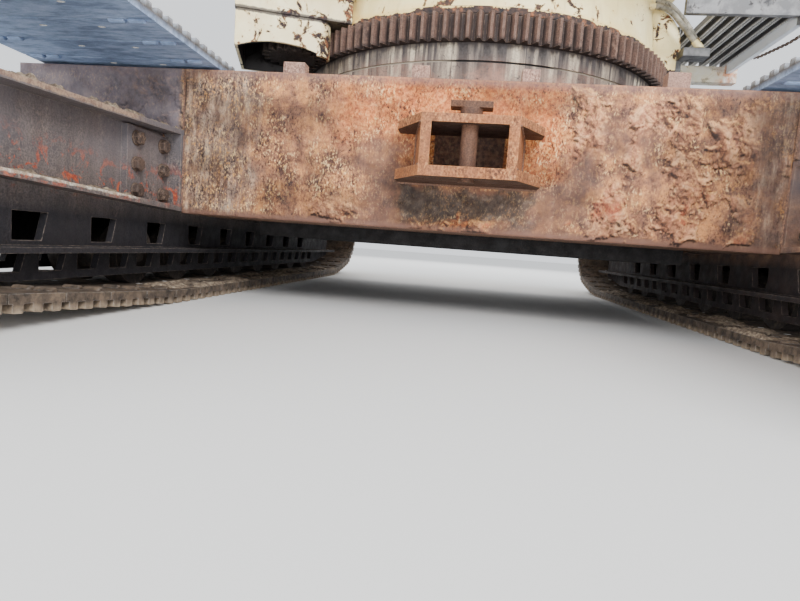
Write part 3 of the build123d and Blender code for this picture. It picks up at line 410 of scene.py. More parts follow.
def grating_shadow(s):
    """Painted shade inside the walkway's open channels; their serrated feet and tops stay bright."""
    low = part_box("walkway_planks")[0].z
    level = s.vector("DOT_PRODUCT", s.facing, (0.0, 0.0, 1.0))
    # Painted shade on the channels' faces that do not look up.
    s.layer((92, 92, 95), s.along("Z", low + 0.008, low + 0.012), s.band(level, 0.9, 0.5), 0.9)


def mouth_shadow(s):
    """Painted shade inside the towing box's mouth."""
    x = s.math("ABSOLUTE", s.axis("X"))
    z = s.axis("Z")
    sides = s.band(x, MOUTH_HALF + 0.004, MOUTH_HALF - 0.001)
    foot = s.band(z, MOUTH_LOW - 0.004, MOUTH_LOW + 0.001)
    top = s.band(z, MOUTH_TOP + 0.004, MOUTH_TOP - 0.001)
    # Painted shade: dark colour inside the mouth, where shade falls.
    grease = s.ramp(s.noise(60, 5), (0.4, (46, 36, 33)), (0.6, (78, 60, 52)))
    s.layer(grease, sides, s.along("Y", -0.934, -0.905), foot, top, 0.92)


def box_painted_shade(s):
    """The towing box: painted shade in its mouth and on the faces that look down."""
    # Painted shade on the faces that look down.
    below = s.band(s.vector("DOT_PRODUCT", s.facing, (0.0, 0.0, -1.0)), 0.4, 0.8)
    s.layer((58, 43, 37), below, 0.85)
    mouth_shadow(s)


def cream(name, kept, rusty_z=None, dirty=0.3, paint=((236, 218, 164), (254, 242, 200)), extra=None):
    """Old cream paint: yellowed patches, runs of rust, dark chips with a stained rim, worn edges.

    kept is how much paint is left, and below rusty_z hardly any is."""
    s = Shade(name)
    fine = s.noise(150, 4, 0.6)
    chips = s.noise(15, 8, 0.70, place=s.warped(60, 0.01), warp=0.6)
    cluster = s.band(s.noise(2.6, 4, 0.6), 0.44, 0.58)
    limit = s.minus(chips, s.times(cluster, 0.07))
    if rusty_z is not None:
        ragged = s.plus(s.axis("Z"), s.times(s.noise(9, 7, 0.7, warp=0.5), 0.09))
        peeled = s.band(ragged, rusty_z + 0.052, rusty_z + 0.040)
        limit = s.minus(limit, s.times(peeled, 0.5))
        golden = s.band(ragged, rusty_z + 0.090, rusty_z + 0.052)
    normal, edge = s.rounded(0.006)
    limit = s.minus(limit, s.times(edge, 0.10))
    bare = s.band(limit, 1.0 - kept, 1.0 - kept - 0.012)
    rim = s.band(limit, 1.0 - kept + 0.03, 1.0 - kept)
    s.colour = s.ramp(s.noise(5, 6, 0.6), (0.35, paint[0]), (0.65, paint[1]))
    s.layer((236, 212, 150), s.ramp(s.noise(11, 5, 0.6), (0.52, 0.0), (0.72, 0.5)))
    runs = s.ramp(s.noise(1, 5, 0.6, place=s.stretch(30, 30, 2.0)), (0.55, 0.0), (0.72, 0.7))
    s.layer((120, 92, 66), runs, dirty)
    if rusty_z is not None:
        s.layer((240, 206, 128), golden, 0.8)
    s.layer((222, 176, 104), rim, 0.7)
    under = s.ramp(s.noise(34, 6, 0.65), (0.36, (38, 35, 38)), (0.52, (74, 58, 52)), (0.68, (158, 100, 66)))
    s.layer(under, bare)
    if extra:
        extra(s)
    height = s.plus(s.minus(1.0, bare), s.times(fine, 0.25))
    rough = s.mix(bare, 0.42, 0.85)
    return s.finish(rough, height, 0.0022, normal)


def plain_rubber():
    s = Shade("dusty_hose")
    fine = s.noise(260, 4, 0.6)
    s.colour = s.ramp(s.noise(22, 5, 0.6), (0.36, (112, 108, 98)), (0.62, (168, 162, 148)))
    s.layer((58, 54, 50), s.ramp(s.noise(70, 5), (0.56, 0.0), (0.66, 0.8)))
    return s.finish(0.8, fine, 0.001)


def face_material():
    """The cross beam's front: its zones come with the relief as values on the mesh."""
    s = Shade("beam_face_rust")
    flake, orange, smooth = s.attribute("flake"), s.attribute("orange"), s.attribute("smooth")
    grey, streak = s.attribute("grey"), s.attribute("streak")
    z = s.axis("Z")
    rough_part = s.band(smooth, 1.3, 0.0)
    tall = s.vector("MULTIPLY", s.warped(30, 0.016), (1.0, 1.0, 0.55))
    fleck = s.noise(150, 4, 0.6, place=tall)
    crust = s.noise(21, 9, 0.64, warp=0.8)
    fine = s.noise(190, 5, 0.7)
    s.colour = s.ramp(s.noise(9, 6, 0.62, warp=0.4), (0.36, (80, 64, 60)), (0.52, (104, 80, 70)),
                      (0.66, (132, 98, 78)))
    ground = s.ramp(s.noise(14, 7, 0.68), (0.38, (92, 68, 60)), (0.5, (150, 108, 84)), (0.62, (206, 148, 98)))
    s.layer(ground, rough_part)
    warm = s.ramp(s.noise(60, 6, 0.7), (0.36, (150, 80, 44)), (0.50, (206, 122, 66)), (0.66, (240, 170, 104)))
    s.layer(warm, orange, 0.85)
    scale = s.ramp(crust, (0.38, (84, 58, 48)), (0.46, (150, 102, 78)), (0.53, (192, 138, 104)),
                   (0.62, (232, 186, 142)))
    s.layer(scale, flake, 0.9)
    s.layer((188, 92, 60), flake, s.ramp(s.noise(9, 5), (0.50, 0.0), (0.60, 0.7)), s.band(z, 0.62, 0.42))
    dirt = s.ramp(s.noise(26, 7, 0.7), (0.38, (52, 47, 43)), (0.54, (88, 81, 74)), (0.66, (134, 124, 112)))
    s.layer(dirt, grey, 0.8)
    runs = s.ramp(s.noise(1, 6, 0.7, place=s.stretch(30, 30, 7.0), warp=0.2), (0.38, (62, 57, 58)),
                  (0.47, (112, 102, 97)), (0.55, (156, 140, 126)), (0.64, (208, 196, 174)))
    s.layer(runs, streak, 0.72)
    speckled = s.times(rough_part, s.minus(1.0, s.times(flake, 0.7)))
    gold = s.ramp(s.noise(40, 4), (0.42, (218, 164, 96)), (0.6, (244, 216, 160)))
    often = s.ramp(s.noise(9, 5, 0.6), (0.42, 0.1), (0.56, 1.0))
    s.layer(gold, s.ramp(fleck, (0.53, 0.0), (0.61, 0.95)), often, speckled)
    often = s.ramp(s.noise(7, 5, 0.6), (0.42, 1.0), (0.58, 0.35))
    s.layer((54, 40, 37), s.ramp(fleck, (0.37, 0.95), (0.45, 0.0)), often, speckled)
    patches = s.ramp(s.noise(3.4, 6, 0.62, place=s.stretch(1, 1, 1.6)), (0.40, 0.58), (0.56, 1.1))
    s.layer(patches, 1.0, kind="MULTIPLY")
    drip = s.ramp(s.noise(1, 5, 0.6, place=s.stretch(38, 38, 2.0)), (0.38, 0.62), (0.60, 1.08))
    s.layer(drip, 0.4, kind="MULTIPLY")
    s.layer((132, 108, 104), s.band(z, 0.900, 0.926), 0.55)
    s.layer((120, 92, 80), s.band(z, 0.378, 0.364), 0.8)
    sunny = s.ramp(fine, (0.4, (204, 144, 88)), (0.6, (242, 196, 136)))
    s.layer(sunny, s.attribute("lit"), 0.65)
    s.layer((40, 28, 25), s.attribute("shade"), 0.9)
    pits = s.ramp(s.noise(110, 5, 0.7), (0.34, 0.6), (0.42, 0.0))
    s.layer((70, 52, 47), pits, rough_part)
    # Painted shade and sky glare: the arms beside the beam turn a cool blue-grey over their rust.
    arm = s.band(s.math("ABSOLUTE", s.axis("X")), BEAM_HALF + 0.008, BEAM_HALF + 0.03)
    plain = s.ramp(s.noise(11, 7, 0.65), (0.36, (88, 86, 94)), (0.5, (116, 114, 124)),
                   (0.64, (138, 134, 140)))
    s.layer(plain, arm, 0.82)
    s.layer((255, 243, 237), 1.0, kind="MULTIPLY")
    mouth_shadow(s)
    height = s.mix(flake, fleck, s.times(crust, 2.2))
    height = s.plus(s.times(height, 0.7), s.times(fine, 0.4))
    height = s.times(height, s.band(smooth, 1.4, 0.0))
    rough = s.ramp(s.noise(24, 4), (0.35, 0.70), (0.65, 0.94))
    return s.finish(rough, height, 0.0042)


def earth_material():
    s = Shade("dry_earth")
    lumps = s.noise(60, 7, 0.72)
    s.colour = s.ramp(lumps, (0.34, (76, 66, 58)), (0.48, (122, 106, 90)), (0.60, (162, 146, 124)),
                      (0.72, (214, 206, 188)))
    return s.finish(0.95, lumps, 0.004)


# The rust layer on the beam's face, by kind: X from, X to, Z from, Z to, how soft the edge is
FACE_ZONES = {
    "orange": (
        (-0.37, 0.352, 0.575, 0.96, 0.07),
        (-0.24, 0.12, 0.340, 0.398, 0.03),
        (-0.52, -0.33, 0.70, 0.90, 0.20),
    ),
    "smooth": (
        (-0.43, -0.22, 0.33, 0.72, 0.14),
        (-0.30, 0.50, 0.405, 0.55, 0.06),
        (0.13, 0.38, 0.33, 0.46, 0.08),
        (0.50, 0.57, 0.68, 0.82, 0.09),
        (0.63, 0.70, 0.62, 0.77, 0.09),
        (0.36, 0.50, 0.45, 0.675, 0.10),
        (1.05, 1.20, 0.33, 0.95, 0.24),
        (-1.20, -0.26, 0.33, 0.366, 0.015),
        (0.14, 1.20, 0.33, 0.368, 0.015),
    ),
    "grey": (
        (-0.27, 0.26, 0.395, 0.52, 0.04),
        (-2.00, -1.22, 0.68, 0.95, 0.20),
    ),
    "flakes": (
        (0.37, 1.09, 0.362, 0.905, 0.04),
        (-0.60, -0.28, 0.36, 0.44, 0.08),
        (-0.24, 0.12, 0.340, 0.392, 0.03),
    ),
    "scabs": (
        (-1.55, -1.17, 0.60, 1.00, 0.14),
        (1.17, 1.55, 0.60, 1.00, 0.14),
    ),
    "streak": (
        (-1.30, -0.88, 0.30, 0.96, 0.16),
        (1.11, 1.22, 0.10, 1.20, 0.50),
    ),
}
# Its grid step, how far it reaches into the beam, how wide its rim fades out, and slopes that catch the light
FACE_CELL = 0.004
FACE_BACK = 0.001
FADE = 0.006
STEEP_FROM = 0.08
STEEP_SPAN = 0.25


def step(value, low, high):
    share = min(1.0, max(0.0, (value - low) / (high - low)))
    return share * share * (3 - 2 * share)


def face_zone(kind, x, z):
    """How far a point lies in the zones of a kind, their edges made ragged by noise."""
    x += 0.045 * noise.fractal(Vector((x * 9, 1.0, z * 9)), 0.7, 2.1, 6)
    z += 0.045 * noise.fractal(Vector((x * 9, 5.0, z * 9)), 0.7, 2.1, 6)
    most = 0.0
    for x0, x1, z0, z1, soft in FACE_ZONES[kind]:
        inside = min(x - x0, x1 - x, z - z0, z1 - z)
        most = max(most, step(inside, -soft / 2, soft / 2))
    return most


def face_height(x, z):
    """Thickness of the rust on the beam's face, and its values for the material."""
    pits = noise.fractal(Vector((x * 42, 2.0, z * 30)), 0.9, 2.1, 4)
    crust = noise.fractal(Vector((x * 24, 3.0, z * 24)), 0.7, 2.1, 4)
    layer = noise.fractal(Vector((x * 8, 7.0, z * 8)), 0.75, 2.1, 6)
    smooth = face_zone("smooth", x, z)
    orange = face_zone("orange", x, z)
    flake = face_zone("flakes", x, z) * (1 - smooth) * step(layer, -0.05, 0.0)
    flake = max(flake, face_zone("scabs", x, z) * step(layer, 0.06, 0.11))
    upper = sum(step(layer, at, at + 0.03) for at in (0.06, 0.18, 0.34))
    height = 0.0010 + 0.0009 * pits * (1 - smooth) * (1 - 0.6 * orange)
    height += flake * (0.0018 + 0.0014 * upper + 0.0016 * crust + 0.0006 * pits)
    values = {
        "flake": flake,
        "orange": orange * (1 - smooth),
        "smooth": smooth,
        "grey": face_zone("grey", x, z),
        "streak": face_zone("streak", x, z),
    }
    return max(0.0002, height), values


def add_piece(name, points, faces, material, body, smooth=False):
    mesh = bpy.data.meshes.new(name)
    mesh.from_pydata(points, [], faces)
    mesh.materials.append(material)
    mesh.shade_smooth() if smooth else mesh.shade_flat()
    piece = bpy.data.objects.new(name, mesh)
    bpy.context.collection.objects.link(piece)
    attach(piece, body)
    return piece


def set_values(piece, key, values):
    piece.data.attributes.new(key, "FLOAT", "POINT").data.foreach_set("value", values)


def relief(name, start, up, size, step_size, height, back, material):
    """A closed layer over a flat face of the undercarriage: start is a corner, X and up run along it.

    height(point) gives how far the layer stands out there, and its values for the material."""
    across = Vector((1, 0, 0))
    out = across.cross(up)
    wide, tall = (round(length / step_size) for length in size)
    cell = (size[0] / wide, size[1] / tall)
    points, heights, values = [], [], []
    for j in range(tall + 1):
        for i in range(wide + 1):
            flat = start + across * (i * cell[0]) + up * (j * cell[1])
            h, row = height(flat)
            edge = min(i * cell[0], j * cell[1], (wide - i) * cell[0], (tall - j) * cell[1])
            h *= min(1.0, edge / FADE)
            points.append(flat + out * h)
            heights.append(h)
            values.append(row)
    count = wide + 1
    faces = [
        (j * count + i, j * count + i + 1, (j + 1) * count + i + 1, (j + 1) * count + i)
        for j in range(tall)
        for i in range(wide)
    ]
    ring = list(range(wide + 1)) + [(j + 1) * count - 1 for j in range(1, tall + 1)]
    ring += [tall * count + i for i in range(wide - 1, -1, -1)] + [j * count for j in range(tall - 1, 0, -1)]
    base = len(points)
    for k in ring:
        points.append(points[k] - out * (heights[k] + back))
    around = len(ring)
    for k in range(around):
        n = (k + 1) % around
        faces.append((ring[n], ring[k], base + k, base + n))
    faces.append(tuple(base + k for k in reversed(range(around))))
    piece = add_piece(name, points, faces, material, "undercarriage", smooth=True)
    for key in values[0]:
        set_values(piece, key, [v[key] for v in values] + [0.0] * around)
    if values[0]:
        for key, sign in (("lit", -1), ("shade", 1)):
            edges = [0.0] * len(points)
            for j in range(1, tall):
                for i in range(1, wide):
                    k = j * count + i
                    rise_up = heights[k + count] - heights[k - count]
                    rise_across = heights[k + 1] - heights[k - 1]
                    steep = sign * (rise_up + 0.5 * rise_across) / (2 * cell[1])
                    edges[k] = min(1.0, max(0.0, steep - STEEP_FROM) / STEEP_SPAN)
            set_values(piece, key, edges)
    return piece


def circle(centre, radius, count, turn=0.0):
    """Points (u, v) evenly round a centre."""
    for k in range(count):
        angle = turn + 2 * math.pi * k / count
        yield centre[0] + radius * math.cos(angle), centre[1] + radius * math.sin(angle)


def closed_faces(rings, count):
    """Faces that join rings of points into a solid with a cap at each end."""
    faces = []
    for ring in range(rings - 1):
        for k in range(count):
            n = (k + 1) % count
            a, b = ring * count, (ring + 1) * count
            faces.append((a + k, a + n, b + n, b + k))
    faces.append(tuple(reversed(range(count))))
    faces.append(tuple((rings - 1) * count + k for k in range(count)))
    return faces


class Batch:
    """Gathers many small solids that ride on one body into one mesh."""

    def __init__(self):
        self.points = []
        self.faces = []

    def add(self, points, faces):
        base = len(self.points)
        self.points += points
        self.faces += [tuple(base + k for k in face) for face in faces]

    def spindle(self, place, axis, rows, sides, turn=0.0):
        """A turned or many-sided solid: rows are (distance along the axis, radius)."""
        axis = Vector(axis).normalized()
        first = axis.orthogonal().normalized()
        second = axis.cross(first)
        points = []
        for along, radius in rows:
            for u, v in circle((0, 0), 1, sides, turn):
                points.append(Vector(place) + axis * along + (first * u + second * v) * radius)
        self.add(points, closed_faces(len(rows), sides))

    def bolt(self, place, axis, across, height, turn=0.0):
        """A washer and a hexagon head with worn corners, a little sunk into the face it sits on."""
        r = across / math.sqrt(3)
        washer = across * 0.62
        self.spindle(place, axis, ((-0.002, washer), (0.003, washer), (0.004, washer * 0.93)), 20)
        self.spindle(place, axis, ((0.002, r), (height * 0.85, r), (height, r * 0.84)), 6, turn)

    def bead(self, start, end, radius, seed):
        """A rippled weld bead from one point to the other."""
        start, end = Vector(start), Vector(end)
        length = (end - start).length
        count = max(4, int(length / 0.007))
        rows = []
        for k in range(count + 1):
            swell = 0.86 + 0.14 * (k % 2) + 0.18 * noise.noise(Vector((seed, k * 0.31, 0)))
            rows.append((length * k / count, radius * swell * (0.6 if k in (0, count) else 1)))
        self.spindle(start, end - start, rows, 8)

    def piece(self, name, material, body, slot, smooth=False):
        return add_piece(name, self.points, self.faces, material, body, smooth)


make_camera()
RUST = rust("brown_rust", BROWN_RUST)
DARK = rust("dark_rust", DARK_RUST)
FACE = face_material()
EARTH = earth_material()
PATCHY = (0.5, 0.7)
FRAME_STEEL = rust("side_frame_rust", FRAME_RUST, grain=120, cover=PATCHY, streak=0.5, extra=primer_patches)
TRACK_STEEL = rust("track_steel", SHOE_STEEL, grain=90, cover=(0.5, 0.75), extra=track_dust_and_painted_light)
HOLE_SUNLIGHT = sunlit_hole_material()
MATERIALS = {
    "rusty_steel": RUST,
    "track_steel": TRACK_STEEL,
    "cast_wheel": rust("cast_wheel", GREASY, grain=60),
    "gear_steel": rust("gear_rust", GEAR_RUST, grain=80, cover=(0.55, 0.8), extra=tooth_valley_shade),
    "cream_paint": cream("cream_paint", 0.66),
    "galvanised": rust("old_zinc_painted_light", ZINC_WITH_PAINTED_LIGHT, grain=140, cover=PATCHY, streak=0.15),
    "hose_rubber": plain_rubber(),
}
OWN_MATERIALS = {
    "tow_box": rust("tow_box_rust", ORANGE_RUST, grain=120, cover=(0.36, 0.55), extra=box_painted_shade),
    "tow_pin": rust("tow_pin_rust", PIN_RUST, grain=90, cover=PATCHY),
    "front_beam_lugs": rust("lug_rust", PINK_RUST),
    "pedestal_drum": drum_material(),
    # The centre box is painted near black as shade under the beams.
    "centre_box": rust("centre_box_painted_shade", SHADE_BLACK),
    "race_skirt": cream("skirt_paint", 0.64, rusty_z=1.266, paint=((238, 216, 150), (255, 242, 190)),
                        extra=clamp_block),
    "swing_guard": cream("guard_paint", 0.58, dirty=0.2, extra=guard_inside_shade),
    "walkway_rails": cream("rail_paint", 0.63, dirty=0.4, paint=((196, 197, 200), (226, 226, 224)),
                           extra=rail_tones),
    "swing_pinion": rust("pinion_rust", GREASY),
    "swing_motor": cream("motor_paint", 0.60, dirty=0.5),
    "side_frame_left": FRAME_STEEL,
    "side_frame_right": FRAME_STEEL,
}
for row in frame["record"]["subparts"]:
    mesh = NODES[row["node"]].data
    mesh.materials.clear()
    mesh.materials.append(OWN_MATERIALS.get(row["node"], MATERIALS[row["material_slot"]]))


def make_face_rust():
    """The rust layer: over the beam's full face, and over each arm beside it."""
    for name, x0, x1, z0 in (
        ("beam_face", -BEAM_HALF, BEAM_HALF, BEAM_LOW),
        ("beam_arm_left", -ARM_END, -BEAM_HALF, FRAME_TOP + 0.001),
        ("beam_arm_right", BEAM_HALF, ARM_END, FRAME_TOP + 0.001),
    ):
        relief(name, Vector((x0, FRONT_Y, z0)), Vector((0, 0, 1)), (x1 - x0, BEAM_TOP - z0), FACE_CELL,
               lambda p: face_height(p.x, p.z), FACE_BACK, FACE)


# Track shoes, from the same loop as the frame's: wheels, flat stretches of the lower run, one shoe, its holes
WHEEL_Y = 1.93
WRAP = 0.470
WHEEL_Z = WRAP + 0.060
FRONT_FLAT = 0.93
REAR_FLAT = 1.60
SHOE_COUNT = 56
SHOE_DEPTH = 0.050
PLATE = 0.027
BAR = 0.033
SHOE_GAP = 0.002
SHOE_RINGS = 20
BAR_WEAR = 0.0035
HINGE_XS = (0.06, 0.13, 0.67, 0.74)
HINGE_ROWS = ((-0.028, 0.012), (-0.025, 0.015), (0.025, 0.015), (0.028, 0.012))
HOLE_WIDE = 0.014
HOLE_LONG = 0.007
HOLE_SIDES = 12
HOLE_XS = (1.28, 1.50)
HOLE_DRILL = (-0.01, 0.07)


def rise(flat):
    ahead = WHEEL_Y - flat
    far = math.hypot(ahead, WHEEL_Z)
    return math.sqrt(far**2 - WRAP**2), math.atan2(WHEEL_Z, ahead) - math.asin(WRAP / far)


def half_length(flat):
    length, angle = rise(flat)
    return flat + length + WRAP * (math.pi - angle) + WHEEL_Y


def half_point(s, depth, flat):
    length, angle = rise(flat)
    if s < flat:
        return s, depth
    s -= flat
    if s < length:
        along, up = math.cos(angle), math.sin(angle)
        return flat + s * along - depth * up, s * up + depth * along
    s -= length
    if s < WRAP * (math.pi - angle):
        turn = angle + s / WRAP
        return WHEEL_Y + (WRAP - depth) * math.sin(turn), WHEEL_Z - (WRAP - depth) * math.cos(turn)
    return WHEEL_Y - (s - WRAP * (math.pi - angle)), WHEEL_Z + WRAP - depth


LOOP = half_length(REAR_FLAT) + half_length(FRONT_FLAT)
PITCH = LOOP / SHOE_COUNT


def loop_point(s, depth):
    s %= LOOP
    if s < half_length(REAR_FLAT):
        return half_point(s, depth, REAR_FLAT)
    y, z = half_point(LOOP - s, depth, FRONT_FLAT)
    return -y, z


def shoe_profile():
    """A shoe seen from its end: along the track, and outwards from its inner face."""
    half = PITCH / 2 - SHOE_GAP
    nick = 0.003
    points = [(-half, nick), (-half + nick, 0), (half - nick, 0), (half, nick), (half, PLATE)]
    for bar in (1, 0, -1):
        middle = bar * PITCH / 3
        edge = min(half, middle + BAR / 2)
        start = max(-half, middle - BAR / 2)
        points += [(edge, PLATE), (edge, SHOE_DEPTH - nick), (edge - nick, SHOE_DEPTH)]
        points += [(start + nick, SHOE_DEPTH), (start, SHOE_DEPTH - nick), (start, PLATE)]
    points.append((-half, PLATE))
    return [p for k, p in enumerate(points) if p != points[k - 1]]


def one_shoe(x0, x1):
    """One shoe with its small holes: points (x, along, outwards), faces, and which faces are hole walls."""
    profile = shoe_profile()
    points = []
    for ring in range(SHOE_RINGS + 1):
        x = x0 + (x1 - x0) * ring / SHOE_RINGS
        points += [(x, t, n) for t, n in profile]
    faces = closed_faces(SHOE_RINGS + 1, len(profile))
    holes = Batch()
    side = 1 if x0 > 0 else -1
    for x in HOLE_XS:
        round_hole = list(circle((0, 0), 1, HOLE_SIDES))
        rim = [(side * x + u * HOLE_WIDE, PITCH / 6 + v * HOLE_LONG) for u, v in round_hole]
        holes.add([(u, v, n) for n in HOLE_DRILL for u, v in rim], closed_faces(2, HOLE_SIDES))
    blank, drill = (bpy.data.objects.new(n, bpy.data.meshes.new(n)) for n in ("shoe_blank", "shoe_drill"))
    for thing, rows, loops in ((blank, points, faces), (drill, holes.points, holes.faces)):
        thing.data.from_pydata(rows, [], loops)
        shape = bmesh.new()
        shape.from_mesh(thing.data)
        bmesh.ops.recalc_face_normals(shape, faces=shape.faces)
        shape.to_mesh(thing.data)
        shape.free()
        bpy.context.collection.objects.link(thing)
    cut = blank.modifiers.new("cut", "BOOLEAN")
    cut.operation = "DIFFERENCE"
    cut.object = drill
    bpy.context.view_layer.update()
    done = blank.evaluated_get(bpy.context.evaluated_depsgraph_get()).to_mesh()
    rows = [tuple(v.co) for v in done.vertices]
    loops = [tuple(p.vertices) for p in done.polygons]
    walls = []
    for loop in loops:
        spread = max(rows[k][0] for k in loop) - min(rows[k][0] for k in loop)
        near = all(abs(rows[k][1] - PITCH / 6) < HOLE_LONG * 1.01 for k in loop)
        walls.append(int(near and spread < HOLE_WIDE))
    bpy.data.objects.remove(blank)
    bpy.data.objects.remove(drill)
    return rows, loops, walls


def make_track(word, side):
    low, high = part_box(f"track_{word}")
    rows, loops, walls = one_shoe(low.x, high.x)
    batch = Batch()
    bars, inners, kinds = [], [], []
    for k in range(SHOE_COUNT):
        a = Vector((0, *loop_point(k * PITCH, SHOE_DEPTH)))
        b = Vector((0, *loop_point((k + 1) * PITCH, SHOE_DEPTH)))
        along = (b - a).normalized()
        out = Vector((0, along.z, -along.y))
        middle = (a + b) / 2
        points = []
        for x, t, n in rows:
            worn = 0.0
            if n > PLATE:
                ripple = noise.fractal(Vector((x * 22, k * 1.7 + t * 30, side)), 1, 2, 3)
                worn = BAR_WEAR * max(0.0, 0.15 + ripple)
            points.append(middle + along * t + out * (n - worn) + Vector((x, 0, 0)))
        batch.add(points, loops)
        bars += [1.0 if n > PLATE + 0.001 else 0.0 for _, _, n in rows]
        inners += [1.0 if n < PLATE / 2 else 0.0 for _, _, n in rows]
        kinds += walls
        for edge in HINGE_XS:
            x = low.x + edge if side > 0 else high.x - edge
            batch.spindle(a + out * 0.004 + Vector((x, 0, 0)), (1, 0, 0), HINGE_ROWS, 10)
        bars += [0.0] * (len(batch.points) - len(bars))
        inners += [1.0] * (len(batch.points) - len(inners))
        kinds += [0] * (len(batch.faces) - len(kinds))
    piece = batch.piece(f"track_shoes_{word}", TRACK_STEEL, "undercarriage", "track_steel")
    set_values(piece, "bar", bars)
    set_values(piece, "inner", inners)
    # The hole walls take the painted sunlight.
    piece.data.materials.append(HOLE_SUNLIGHT)
    piece.data.polygons.foreach_set("material_index", kinds)
    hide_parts(f"track_{word}")


# Grating channels of the walkway, where the frame's bars are
PLANK_COUNT = 8
PLANK_GAP = 0.012
PLANK_WALL = 0.004
SHORT_PLANKS = 2
SHORT_FRONT = 0.14
TOOTH_STEP = 0.0075
TOOTH_DEEP = 0.0055


def make_planks():
    """Channels open below, with a serrated lower edge on both flanges."""
    low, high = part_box("walkway_planks")
    pitch = (high.x - low.x + PLANK_GAP) / PLANK_COUNT
    t = PLANK_WALL
    batch = Batch()
    for k in range(PLANK_COUNT):
        x0 = low.x + k * pitch
        x1 = x0 + pitch - PLANK_GAP
        y0 = SHORT_FRONT if k < SHORT_PLANKS else low.y
        rings = 2 * round((high.y - y0) / TOOTH_STEP / 2)
        points, faces = [], []
        for ring in range(rings + 1):
            y = y0 + (high.y - y0) * ring / rings
            foot = low.z + TOOTH_DEEP * (ring % 2)
            outside = ((x0, foot), (x0, high.z), (x1, high.z), (x1, foot))
            inside = ((x1 - t, foot), (x1 - t, high.z - t), (x0 + t, high.z - t), (x0 + t, foot))
            points += [Vector((x, y, z)) for x, z in outside + inside]
        count = len(outside + inside)
        for ring in range(rings):
            for j in range(count):
                n = (j + 1) % count
                a, b = ring * count, (ring + 1) * count
                faces.append((a + j, b + j, b + n, a + n))
        faces.append(tuple(range(count)))
        faces.append(tuple(rings * count + j for j in reversed(range(count))))
        batch.add(points, faces)
    zinc = rust("grating_zinc_painted_light_and_shade", ZINC_WITH_PAINTED_LIGHT, grain=140, cover=PATCHY, streak=0.15, extra=grating_shadow)
    piece = batch.piece("grating_channels", zinc, "revolving_bed", "galvanised")
    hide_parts("walkway_planks")


# Chain along the walkway: Y and Z of its line
CHAIN_LINE = ((-0.110, 1.392), (-0.042, 1.384), (0.038, 1.386), (0.170, 1.400), (0.315, 1.416),
              (0.460, 1.455), (0.580, 1.458))
LINK_PITCH = 0.0195
LINK_WIRE = 0.0027
LINK_BEND = 0.0066


def make_chain():
    x = (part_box("walkway_chain")[0].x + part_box("walkway_chain")[1].x) / 2
    line = [Vector((x, y, z)) for y, z in CHAIN_LINE]
    lengths = [(b - a).length for a, b in zip(line, line[1:])]
    count = round(sum(lengths) / LINK_PITCH)
    batch = Batch()
    for k in range(count):
        s = (k + 0.5) * sum(lengths) / count
        leg = 0
        while s > lengths[leg] and leg < len(lengths) - 1:
            s -= lengths[leg]
            leg += 1
        ahead = (line[leg + 1] - line[leg]).normalized()
        middle = line[leg] + ahead * s
        wide = Vector((1, 0, 0)) if k % 2 else ahead.cross(Vector((1, 0, 0)))
        flat = ahead.cross(wide)
        half = LINK_PITCH / 2 + LINK_WIRE - LINK_BEND
        bends, rim = 14, 6
        points, faces = [], []
        for u, v in circle((0, 0), 1, bends):
            spoke = ahead * u + wide * v
            centre = middle + ahead * math.copysign(half, u) + spoke * LINK_BEND
            points += [centre + (spoke * a + flat * b) * LINK_WIRE for a, b in circle((0, 0), 1, rim)]
        for j in range(bends):
            for m in range(rim):
                a, b = j * rim, (j + 1) % bends * rim
                n = (m + 1) % rim
                faces.append((a + m, a + n, b + n, b + m))
        batch.add(points, faces)
    piece = batch.piece("chain_links", DARK, "revolving_bed", "galvanised", smooth=True)
    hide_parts("walkway_chain")


# Bolts: a joint plate's rows and columns, and each size as width over the flats and height of the head
PLATE_ROWS = (0.415, 0.512, 0.608)
PLATE_COLUMNS = (0.068, 0.242)
PLATE_BOLT = (0.046, 0.026)
CAP_BOLT = (0.024, 0.014)
MOTOR_BOLT = (0.022, 0.013)
GEARBOX_BOLT = (0.018, 0.011)
RACE_BOLT = (0.036, 0.022)
# Circles of bolts: radius, how many, and where the first one stands
CAP_CIRCLE = (0.055, 6, 0.3)
DRIVE_CIRCLE = (0.133, 12)
MOTOR_CIRCLE = (0.080, 4, 0.78)
GEARBOX_CIRCLE = (0.177, 14, 0.1)
RACE_CIRCLE = (0.80, 40, 0.04)
GIRDER_CLEAR = 0.06


